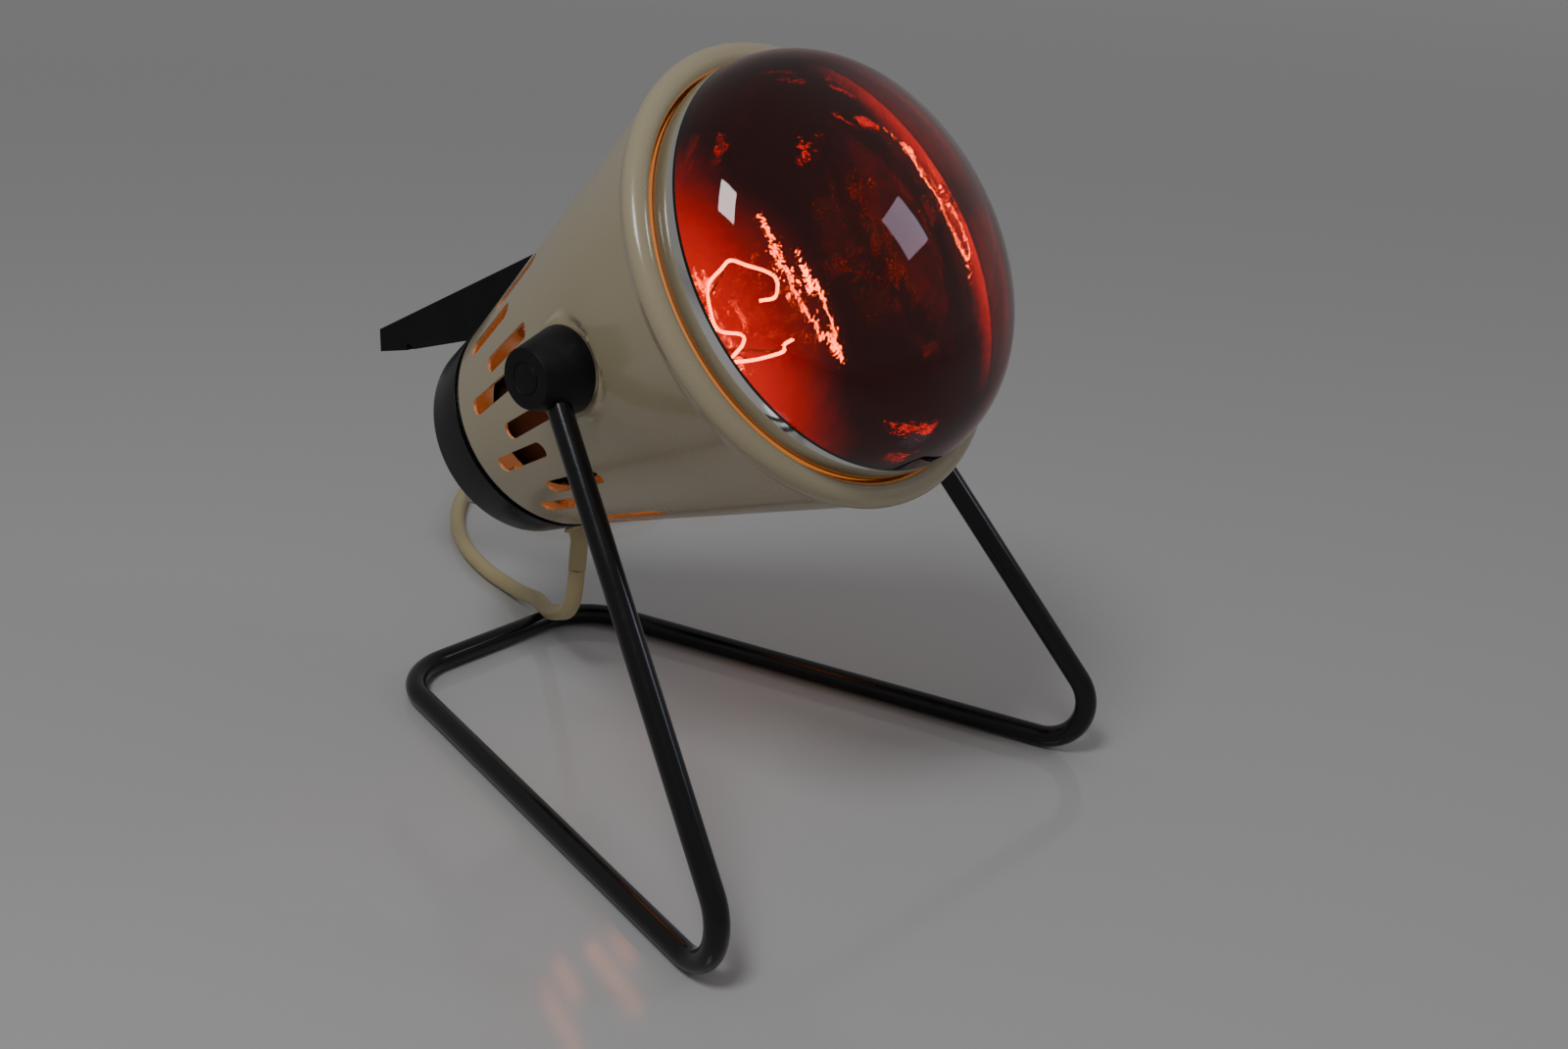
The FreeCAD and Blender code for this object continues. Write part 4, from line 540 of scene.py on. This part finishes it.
# Painted glow in a thin band by the rim, standing in for light leaking past the shade's lip
rimPaintedGlow = finishOf("rimPaintedGlow", (0.5, 0.35, 0.2), (0.3, 0.5), Emission_Color=(1.0, 0.3, 0.05, 1),
                    Emission_Strength=0.45)
hotTungsten = finishOf("hotTungsten", (0.3, 0.28, 0.26), (0.4, 0.6), Metallic=1.0,
                       Emission_Color=(1.0, 0.78, 0.12, 1), Emission_Strength=60.0)
print("heat lamp: finishes mixed")

# Cord


def makeCord(settings, line):
    # One tube along the whole line, baked in place; the bend points for its first stretch are passed on but
    # not used
    bends = [tuple(Vector(settings[key]) * mm) for key in ("bendsFrom", "bendsTo")]
    bm = bmesh.new()
    sweep(bm, line, settings["diameter"] * mm / 2, settings["sides"])
    return piece("supplyCord", bm, Matrix.Identity(4), creamFlex, ("head", "stand", *bends), "cream_rubber",
                 "cord_lead", "cord_coil", "cord_tail", crease=50)


cord = makeCord(supplyCord, cordLine)

# Stand

stand = {"rod": 3.6, "top": (64.4, 0, 141), "foot": (97, -115, 3.6), "rear": (43, 93.4, 3.6),
         "frontBend": 15, "rearBend": 24, "pastAxis": 4.6}


def makeStand(settings):
    ends = []
    for side in (-1, 1):
        top, foot, rear = (Vector((side * x, y, z)) for x, y, z in map(settings.get, ("top", "foot", "rear")))
        ends.append([top + (top - foot).normalized() * settings["pastAxis"], foot, rear])
    corners = ends[0] + ends[1][::-1]
    bends = [settings["frontBend"], settings["rearBend"], settings["rearBend"], settings["frontBend"]]
    bm = bmesh.new()
    sweep(bm, bentPath(corners, bends), settings["rod"], 32)
    piece("standRod", bm, inWorld, blackLacquer, "stand", "black_lacquer", "stand_rod")


knob = {"face": 58.35, "length": 14.65, "base": 12.9, "end": 8.7, "ring": 4.6, "ringDepth": 0.3,
        "ringWidth": 0.6, "ringSlant": 0.1, "bore": 2.1, "boreEnd": 66.8}


def makeKnob(settings, side, name, cadNode):
    face, back = settings["face"], settings["face"] + settings["length"]
    ringIn, ringOut = (settings["ring"] + way * settings["ringWidth"] / 2 for way in (-1, 1))
    slant, ringFloor = settings["ringSlant"], back - settings["ringDepth"]
    outline = eased([
        (settings["bore"], face, 0.2), (settings["base"], face, 0.6), (settings["end"], back, 0.3),
        (ringOut, back, 0.12), (ringOut - slant, ringFloor, 0.1), (ringIn + slant, ringFloor, 0.1),
        (ringIn, back, 0.12), (0, back + 0.05), (0, settings["boreEnd"]),
        (settings["bore"], settings["boreEnd"], 0.1)], 0.3, 4)
    bm = bmesh.new()
    turnOnLathe(bm, outline, 96)
    piece(name, bm, outward(side), blackMoulding, "stand", "black_moulding", cadNode)


makeStand(stand)
makeKnob(knob, -1, "knobLeft", "pivot_knob_left")
makeKnob(knob, 1, "knobRight", "pivot_knob_right")
print("heat lamp: stand bent")

# Housing

shell = {
    "wall": 1.0,
    "radius": 56.88,  # of the cone at the tilt axis
    "slope": math.tan(math.radians(13.62)),
    "back": -78.8,
    "opening": 24.5,
    "backRings": (30.0, 34.5),
    "corner": [(1.6, 0), (0.75, 0.14), (0.2, 0.6), (-0.315, 1.3)],  # in from the cone, up from the back
    "innerCorner": [(-0.46, 1.2), (0.5, 0.2), (1.4, 0)],
    "side": (2.2, 126.1),  # up from the back
    "row": 1.5,
    "rim": (66.3, 50.8),
    "curl": 3.6,
    "curlOut": (-38, 250, 40),
    "curlIn": (250, -60, 40),
    "steps": 352,
    "seatFace": 57.2,
    "seat": 14.2,
    "seatBlend": 2.0,
    "slotLength": 31.0,
    "slotWidth": 5.4,
    "slotReach": (24.0, 72.0),
    "slotsRound": 13,
    "rearRow": (-51.0, -2.4, 1),  # middle height, first angle, first slot (0 would lie under the handle)
    "frontRow": (-35.5, 14.1, 0),
}


def coneAt(height):
    return shell["radius"] + shell["slope"] * height


def skinOutline(settings):
    # The steel's outer skin from the rear opening to the rolled rim, then back along the inside
    wall, back = settings["wall"], settings["back"]
    across = wall / math.cos(math.atan(settings["slope"]))
    first, last = settings["side"]
    rows = round((last - first) / settings["row"])
    heights = [back + first + (last - first) * k / rows for k in range(rows + 1)]
    rear = [(radius, back) for radius in (settings["opening"], *settings["backRings"])]
    corner = [(coneAt(back) - inset, back + lift) for inset, lift in settings["corner"]]
    outside = [(coneAt(z), z) for z in heights]
    curlOut = arc(*settings["rim"], settings["curl"], *settings["curlOut"])
    curlIn = arc(*settings["rim"], settings["curl"] - wall, *settings["curlIn"])
    inside = [(coneAt(z) - across, z) for z in reversed(heights)]
    innerCorner = [(coneAt(back) - across - inset, back + wall + lift)
                   for inset, lift in settings["innerCorner"]]
    innerRear = [(radius, back + wall) for radius in (settings["backRings"][0], settings["opening"])]
    return rear + corner + outside + curlOut + curlIn + inside + innerCorner + innerRear


def pressSeats(bm, settings):
    # Pushes the wall flat round each tilt screw
    for vert in bm.verts:
        reach = math.hypot(vert.co.y, vert.co.z)
        if reach > settings["seat"] + settings["seatBlend"]:
            continue
        skin = math.hypot(vert.co.x, vert.co.y) - coneAt(vert.co.z)
        face = settings["seatFace"] - (settings["wall"] if skin < -settings["wall"] / 2 else 0)
        share = min(1, (settings["seat"] + settings["seatBlend"] - reach) / settings["seatBlend"])
        share = share * share * (3 - 2 * share)
        side = 1 if vert.co.x > 0 else -1
        vert.co.x += (side * face - vert.co.x) * share


def slotCutters(settings):
    cutters = bmesh.new()
    half = settings["slotWidth"] / 2
    straight = (settings["slotLength"] - settings["slotWidth"]) / 2
    rim = ([(x, y + straight) for x, y in arc(0, 0, half, 0, 180, 12)]
           + [(x, y - straight) for x, y in arc(0, 0, half, 180, 360, 12)])
    count = settings["slotsRound"]
    for middle, start, firstSlot in (settings["rearRow"], settings["frontRow"]):
        for k in range(firstSlot, count):
            turn = Matrix.Rotation(math.radians(start + 360 / count * k), 3, "Z")
            ends = [[cutters.verts.new(turn @ Vector((x, reach, middle + z))) for x, z in rim]
                    for reach in settings["slotReach"]]
            cutters.faces.new(ends[0])
            cutters.faces.new(list(reversed(ends[1])))
            for j in range(len(rim)):
                n = (j + 1) % len(rim)
                cutters.faces.new((ends[0][j], ends[0][n], ends[1][n], ends[1][j]))
    return cutters


def makeHousing(settings):
    bm = bmesh.new()
    turnOnLathe(bm, skinOutline(settings), settings["steps"])
    pressSeats(bm, settings)
    bmesh.ops.recalc_face_normals(bm, faces=bm.faces)
    mesh = bpy.data.meshes.new("housing")
    bm.to_mesh(mesh)
    bm.free()
    made = bpy.data.objects.new("housing.shell", mesh)
    bpy.context.scene.collection.objects.link(made)
    carve(made, slotCutters(settings))
    made.data.transform(inHead)
    made.data.materials.clear()
    made.data.materials.append(creamPaint)
    smoothed(made, 30)
    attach(made, "head")
    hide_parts("housing")


makeHousing(shell)
print("heat lamp: housing pressed and slotted")

# Rear cap and handle

cap = {"back": -98.9, "front": -78.8, "groove": 36.9, "grooveWidth": 1.0, "wide": 38.1, "narrow": 34.9,
       "bevelDepth": 1.3, "bevelLength": 1.5, "wall": 2.5, "floor": 2.8, "draft": 0.5}


def makeCap(settings):
    back, front = settings["back"], settings["front"]
    grooveBack, floor = front - settings["grooveWidth"], back + settings["floor"]
    outline = eased([
        (0, back), (settings["narrow"] - settings["bevelDepth"], back, 0.5),
        (settings["narrow"], back + settings["bevelLength"], 0.5), (settings["wide"], grooveBack, 0.35),
        (settings["groove"], grooveBack, 0.2), (settings["groove"], front, 0.1),
        (settings["groove"] - settings["wall"], front, 0.3),
        (settings["narrow"] - settings["wall"] + settings["draft"], floor, 1.2), (0, floor)], 0.3, 5)
    bm = bmesh.new()
    turnOnLathe(bm, outline, 180)
    piece("rearCap", bm, inHead, capBlack, "head", "black_moulding", "rear_cap")


handle = {"thickness": 6.0, "edge": 0.6, "sharpFrom": 0.5,
          "outline": [(47.67, -38.2), (49.8, -63.4), (56.9, -146.3), (49.9, -150.6), (45.0, -136.0),
                      (46.6, -135.2), (46.9, -134.2), (46.2, -133.2), (44.0, -132.4), (37.9, -108.7),
                      (34.95, -97.4), (38.15, -79.8), (38.15, -77.3)]}


def makeHandle(settings):
    bm = bmesh.new()
    plate(bm, settings["outline"], -settings["thickness"] / 2, settings["thickness"] / 2)
    sharp = [edge for edge in bm.edges if edge.calc_face_angle(0) > settings["sharpFrom"]]
    bmesh.ops.bevel(bm, geom=sharp, offset=settings["edge"], segments=3, affect="EDGES", profile=0.5)
    # The plate is drawn in y and z of the head, its thickness along x
    turn = Matrix(((0, 0, 1, 0), (1, 0, 0, 0), (0, 1, 0, 0), (0, 0, 0, 1)))
    piece("handle", bm, inHead @ turn, handleBlack, "head", "black_moulding", "handle", crease=40)


makeCap(cap)
makeHandle(handle)
print("heat lamp: cap and handle fitted")

# Bulb

bulb = {
    "radius": 62.5,
    "equator": 57.5,
    "shoulder": 26.0,
    "crown": 90.0,
    "domeEdge": 61.3,
    "taper": 27.0,
    "sideRows": 12,
    "neck": 19.5,
    "neckBend": 75.0,
    "throat": 12.2,
    "baseFront": -57.0,
    "tail": -62.0,
    "glass": 1.0,
    "steps": 160,
    "seam": 1.3,
    "silverEnd": -20.0,  # behind this the neck carries a painted orange glow, standing in for the filament's light through the unsilvered glass
    "paintedLeakBand": (50.4, 52.5),  # where a painted orange glow stands in for light passing the edge of the silvering
}


def paintBand(made, material, low, high, way=1):
    # Another finish, or a painted glow, on the outer (way 1) or inner (way -1) faces between two heights
    # along the head's axis
    made.data.materials.append(material)
    toHead = inHead.inverted()
    for face in made.data.polygons:
        middle, facing = toHead @ face.center, toHead.to_3x3() @ face.normal
        if low < middle.z < high and way * (facing.x * middle.x + facing.y * middle.y) > 0:
            face.material_index = len(made.data.materials) - 1


def domeSkin(settings, inset):
    # A tight shoulder that runs into a flatter crown
    ring = settings["radius"] - settings["shoulder"]
    lift = settings["domeEdge"] - settings["equator"]
    crownMiddle = settings["equator"] - math.sqrt((settings["crown"] - settings["shoulder"]) ** 2 - ring ** 2)
    shoulder = settings["shoulder"] - inset
    first = math.degrees(math.asin(lift / shoulder))
    meet = math.degrees(math.atan2(settings["equator"] - crownMiddle, ring))
    return (arc(ring, settings["equator"], shoulder, first, meet, 24)
            + arc(0, crownMiddle, settings["crown"] - inset, meet, 90, 30)[1:])


def makeDome(settings):
    outside, inside = domeSkin(settings, 0), domeSkin(settings, settings["glass"])
    outside[-1], inside[-1] = (0, outside[-1][1]), (0, inside[-1][1])
    bm = bmesh.new()
    turnOnLathe(bm, outside + inside[::-1], settings["steps"])
    dome = piece("redDome", bm, inHead, rubyGlass, "bulb", "ruby_glass", "bulb_red_dome")
    paintBand(dome, seamBlack, settings["domeEdge"], settings["domeEdge"] + settings["seam"])


def reflectorSkin(settings, inset):
    # Shoulder, straight side, bend into the neck, and the neck's end
    ring = settings["radius"] - settings["shoulder"]
    taper = math.radians(settings["taper"])
    shoulder, bend = settings["shoulder"] - inset, settings["neckBend"] + inset
    lift = math.degrees(math.asin((settings["domeEdge"] - settings["equator"]) / shoulder))
    taperRadius = ring + shoulder * math.cos(taper)
    taperHeight = settings["equator"] - shoulder * math.sin(taper)
    neck, throat = settings["neck"] - inset, settings["throat"] - inset
    bendRadius = neck + bend * (1 - math.cos(taper))
    bendHeight = taperHeight - (taperRadius - bendRadius) / math.tan(taper)
    neckHeight = bendHeight - bend * math.sin(taper)
    rows = settings["sideRows"]
    side = [(taperRadius + (bendRadius - taperRadius) * k / rows,
             taperHeight + (bendHeight - taperHeight) * k / rows) for k in range(1, rows)]
    return (arc(ring, settings["equator"], shoulder, lift, -settings["taper"], 20) + side
            + arc(neck + bend, neckHeight, bend, 180 - settings["taper"], 180, 14)
            + [(throat, settings["baseFront"] + inset), (throat, settings["tail"])])


def makeReflector(settings):
    bm = bmesh.new()
    outside, inside = reflectorSkin(settings, 0), reflectorSkin(settings, settings["glass"])
    turnOnLathe(bm, outside + inside[::-1], settings["steps"])
    mirror = piece("mirrorReflector", bm, inHead, silvering, "bulb", "silvered_glass", "bulb_reflector")
    # painted glow on the neck, and a painted glow band at the rim's edge
    paintBand(mirror, neckPaintedGlow, settings["tail"], settings["silverEnd"])
    paintBand(mirror, rimPaintedGlow, *settings["paintedLeakBand"])
    # painted reflection glow on the mirror's inner face
    paintBand(mirror, mirrorPaintedGlow, settings["baseFront"], settings["domeEdge"], -1)


filament = {"height": 20.0, "coil": 0.55, "wire": 0.16, "turnsPerMm": 1.1, "steps": 1800,
            "bends": [(6.2, 2.1), (14.0, 2.4), (16.7, 8.6), (6.4, 13.6), (0.6, 15.9), (-4.8, 13.9),
                      (-12.3, 10.3), (-15.3, 4.8), (-15.7, -3.3), (-7.0, -6.5), (-8.2, -9.4),
                      (-15.2, -13.0), (-7.0, -14.6), (7.0, -14.6), (9.2, -12.6), (13.9, -11.6)]}


def filamentPath(settings):
    # A smooth line through the bends, over the hooks and the two lead wires
    bends = [Vector((x, y, settings["height"])) for x, y in settings["bends"]]
    bends = [bends[0] * 2 - bends[1]] + bends + [bends[-1] * 2 - bends[-2]]
    spans, path = len(bends) - 3, []
    for k in range(settings["steps"] + 1):
        n = min(int(k * spans / settings["steps"]), spans - 1)
        t = k * spans / settings["steps"] - n
        a, b, c, d = bends[n:n + 4]
        path.append((b * 2 + (c - a) * t + (a * 2 - b * 5 + c * 4 - d) * t ** 2
                     + (b * 3 - a - c * 3 + d) * t ** 3) / 2)
    return path


def makeFilament(settings):
    middle = filamentPath(settings)
    last = len(middle) - 1
    coil, run = [], 0
    for k, point in enumerate(middle):
        run += (point - middle[max(k - 1, 0)]).length
        way = (middle[min(k + 1, last)] - middle[max(k - 1, 0)]).normalized()
        side = way.cross(Vector((0, 0, 1))).normalized()
        turn = 2 * math.pi * run * settings["turnsPerMm"]
        reach = settings["coil"] - settings["wire"]
        coil.append(point + (side * math.cos(turn) + side.cross(way) * math.sin(turn)) * reach)
    bm = bmesh.new()
    sweep(bm, coil, settings["wire"], 5)
    piece("filamentCoil", bm, inHead, hotTungsten, "bulb", "tungsten", "bulb_filament", crease=80)


makeDome(bulb)
makeReflector(bulb)
makeFilament(filament)
print("heat lamp: bulb blown")

# Strain relief and plug

relief = {"from": 30.9, "corner": 39.5, "back": -88.2, "bend": 12.0, "start": 3.7, "end": 3.0,
          "collar": [(0, 33.0), (5.6, 33.0), (5.6, 31.2), (4.1, 31.3), (4.1, 36.5), (4.8, 36.6),
                     (4.8, 37.3), (3.9, 37.9), (0, 37.9)]}


def makeRelief(settings):
    corner = Vector((0, -settings["corner"], settings["back"]))
    end = inHead.inverted() @ (Vector(supplyCord["reliefEnd"]) * mm)
    path = bentPath([(0, -settings["from"], settings["back"]), corner, end], [settings["bend"]], 16)
    start, taper, last = settings["start"], settings["end"] - settings["start"], len(path) - 1
    radii = [start + taper * k / last for k in range(last + 1)]
    bm = bmesh.new()
    sweep(bm, path, radii, 40)
    collar = bmesh.new()
    turnOnLathe(collar, eased(settings["collar"], 0.25), 48)
    collar.transform(Matrix.Translation((0, 0, settings["back"])) @ Matrix.Rotation(math.pi / 2, 4, "X"))
    addTo(bm, collar)
    piece("strainRelief", bm, inHead, creamFlex, "head", "cream_rubber", "strain_relief", crease=45)


plug = {
    "at": (217.2, 181.8, 18.5),
    "turn": -30.0,
    "radius": 18.5,
    "tailEnd": -36,
    "tailRings": (-34.6, -31.9, -29.2),  # raised rings of the bend-proof tail
    "ring": [(5.0, 0, 0.3), (5.0, 0.7, 0.15), (4.5, 0.9, 0.15), (4.5, 1.7, 0.15), (5.0, 1.9, 0.15)],
    "grip": [(5.0, -27.0, 1.0), (13.0, -21.6, 2.4), (13.0, -14.4, 2.4), (18.5, -9.0, 1.6), (18.5, 0, 0.9)],
    "face": [(15.2, 0, 0.3), (14.9, -0.6, 0.2), (14.3, -0.6, 0.2), (14.0, 0, 0.3), (0, 0)],
    "steps": 240,
    "ribs": 24,
    "ribDepth": 0.7,
    "ribZone": (-8.6, -0.8),
    "recess": (6.04, 4.8, 24.0),  # cut from the rim at both sides, for the earth clips
    "pin": 2.4,
    "root": 1.9,
    "shoulder": 0.2,
    "pinLength": 19.0,
    "pinSpacing": 19.0,
}
onPlug = (Matrix.Translation(Vector(plug["at"]) * mm) @ Matrix.Rotation(math.radians(plug["turn"]), 4, "Z")
          @ Matrix.Rotation(math.pi / 2, 4, "Y") @ inWorld)


def makePlug(settings):
    # A turned grip; fine grooves run along its wide rim
    radius, end = settings["radius"], settings["tailEnd"]
    tail = [(0, end), (settings["ring"][0][0], end, 0.6)]
    for back in settings["tailRings"]:
        tail += [(across, back + along, edge) for across, along, edge in settings["ring"]]
    bm = bmesh.new()
    turnOnLathe(bm, eased(tail + settings["grip"] + settings["face"], 0.3, 4), settings["steps"])
    low, high = settings["ribZone"]
    for vert in bm.verts:
        reach = math.hypot(vert.co.x, vert.co.y)
        if reach > radius - 0.1 and low < vert.co.z < high:
            ridge = (0.5 + 0.5 * math.cos(settings["ribs"] * math.atan2(vert.co.y, vert.co.x))) ** 3
            vert.co.xy *= 1 - settings["ribDepth"] * ridge / reach
    made = piece("plugGrip", bm, onPlug, creamFlex, "stand", "cream_rubber", "plug_body", crease=40)
    cutters = bmesh.new()
    size = Matrix.Diagonal((*settings["recess"], 1))
    for side in (-1, 1):
        bmesh.ops.create_cube(cutters, size=1, matrix=Matrix.Translation((0, side * radius, 0)) @ size)
    cutters.transform(onPlug)
    carve(made, cutters)
    smoothed(made, 40)
    return made


def makePins(settings):
    radius, root, shoulder, tip = map(settings.get, ("pin", "root", "shoulder", "pinLength"))
    outline = eased([(0, 0), (root, 0, 0), (root, shoulder, 0), (radius, shoulder, 0.1), (radius, tip, 1.5),
                     (0, tip)], 0.1, 6)
    pins = bmesh.new()
    for side in (-1, 1):
        pin = bmesh.new()
        turnOnLathe(pin, outline, 48)
        pin.transform(Matrix.Translation((side * settings["pinSpacing"] / 2, 0, 0)))
        addTo(pins, pin)
    return piece("plugPins", pins, onPlug, nickel, "stand", "nickel", "plug_pins", crease=40)


makeRelief(relief)
makePlug(plug)
makePins(plug)
print("heat lamp: plug and strain relief moulded")

# Stage and light

lamps = {
    "window": {"at": (-0.55, -0.15, 0.95), "aim": (0.02, -0.02, 0.1), "size": 0.26, "power": 3.6,
               "color": (0.93, 0.96, 1.0)},
    "fill": {"at": (0.8, -0.9, 0.9), "aim": (0.0, 0.0, 0.1), "size": 0.34, "power": 1.3,
             "color": (0.72, 0.74, 1.0)},
}


def softLight(name, settings):
    data = bpy.data.lights.new(name, "AREA")
    data.size = settings["size"]
    data.energy = settings["power"]
    data.color = settings["color"]
    lamp = bpy.data.objects.new(name, data)
    spot, aim = Vector(settings["at"]), Vector(settings["aim"])
    lamp.location = spot
    lamp.rotation_mode = "QUATERNION"
    lamp.rotation_quaternion = (aim - spot).to_track_quat("-Z", "Y")
    bpy.context.scene.collection.objects.link(lamp)


for name, settings in lamps.items():
    softLight(name, settings)

studio = {"table": (0.55, 0.54, 0.53), "halfWidth": 14.0, "below": 0.0002, "room": (0.55, 0.545, 0.55),
          "roomLight": 0.42}


def makeStage(settings):
    bm = bmesh.new()
    bmesh.ops.create_grid(bm, x_segments=8, y_segments=8, size=settings["halfWidth"])
    mesh = bpy.data.meshes.new("tableTop")
    bm.to_mesh(mesh)
    bm.free()
    table = bpy.data.objects.new("tableTop", mesh)
    table.location.z = -settings["below"]
    lacquer = finishOf("tableLacquer", settings["table"], (0.09, 0.13), 0.0, (30.0, 0.02, 0.0005))
    mesh.materials.append(lacquer)
    bpy.context.scene.collection.objects.link(table)
    room = bpy.data.worlds.new("room")
    room.use_nodes = True
    sky = room.node_tree.nodes["Background"]
    sky.inputs["Color"].default_value = (*settings["room"], 1)
    sky.inputs["Strength"].default_value = settings["roomLight"]
    bpy.context.scene.world = room


makeStage(studio)
print("heat lamp: stage lit")

# Finishes of the solids that stay

kept = {
    nickel: ["pivot_washer_left", "pivot_washer_right", "bulb_lead_wires", "filament_supports",
             "plug_earth_clips"],
    steel: ["pivot_screw_left", "pivot_screw_right", "pivot_spring_washer_left", "pivot_spring_washer_right",
            "cap_screws", "handle_screws", "holder_screws", "terminal_screws", "clamp_screws", "earth_screw"],
    brass: ["bulb_base_shell", "bulb_tip_contact", "holder_shell", "holder_centre_contact",
            "holder_terminals", "earth_tag"],
    ceramic: ["holder_body", "bulb_base_insulator"],
    creamFlex: ["cord_inner_end"],
    blackMoulding: ["cord_clamp"],
    brownCore: ["live_lead"],
    blueCore: ["neutral_lead"],
    greenCore: ["earth_lead"],
    clearGlass: ["bulb_stem"],
}
for material, names in kept.items():
    for name in names:
        nodes[name].data.materials.clear()
        nodes[name].data.materials.append(material)
        smoothed(nodes[name], 35)
print("heat lamp: remaining solids finished")

bpy.context.view_layer.update()
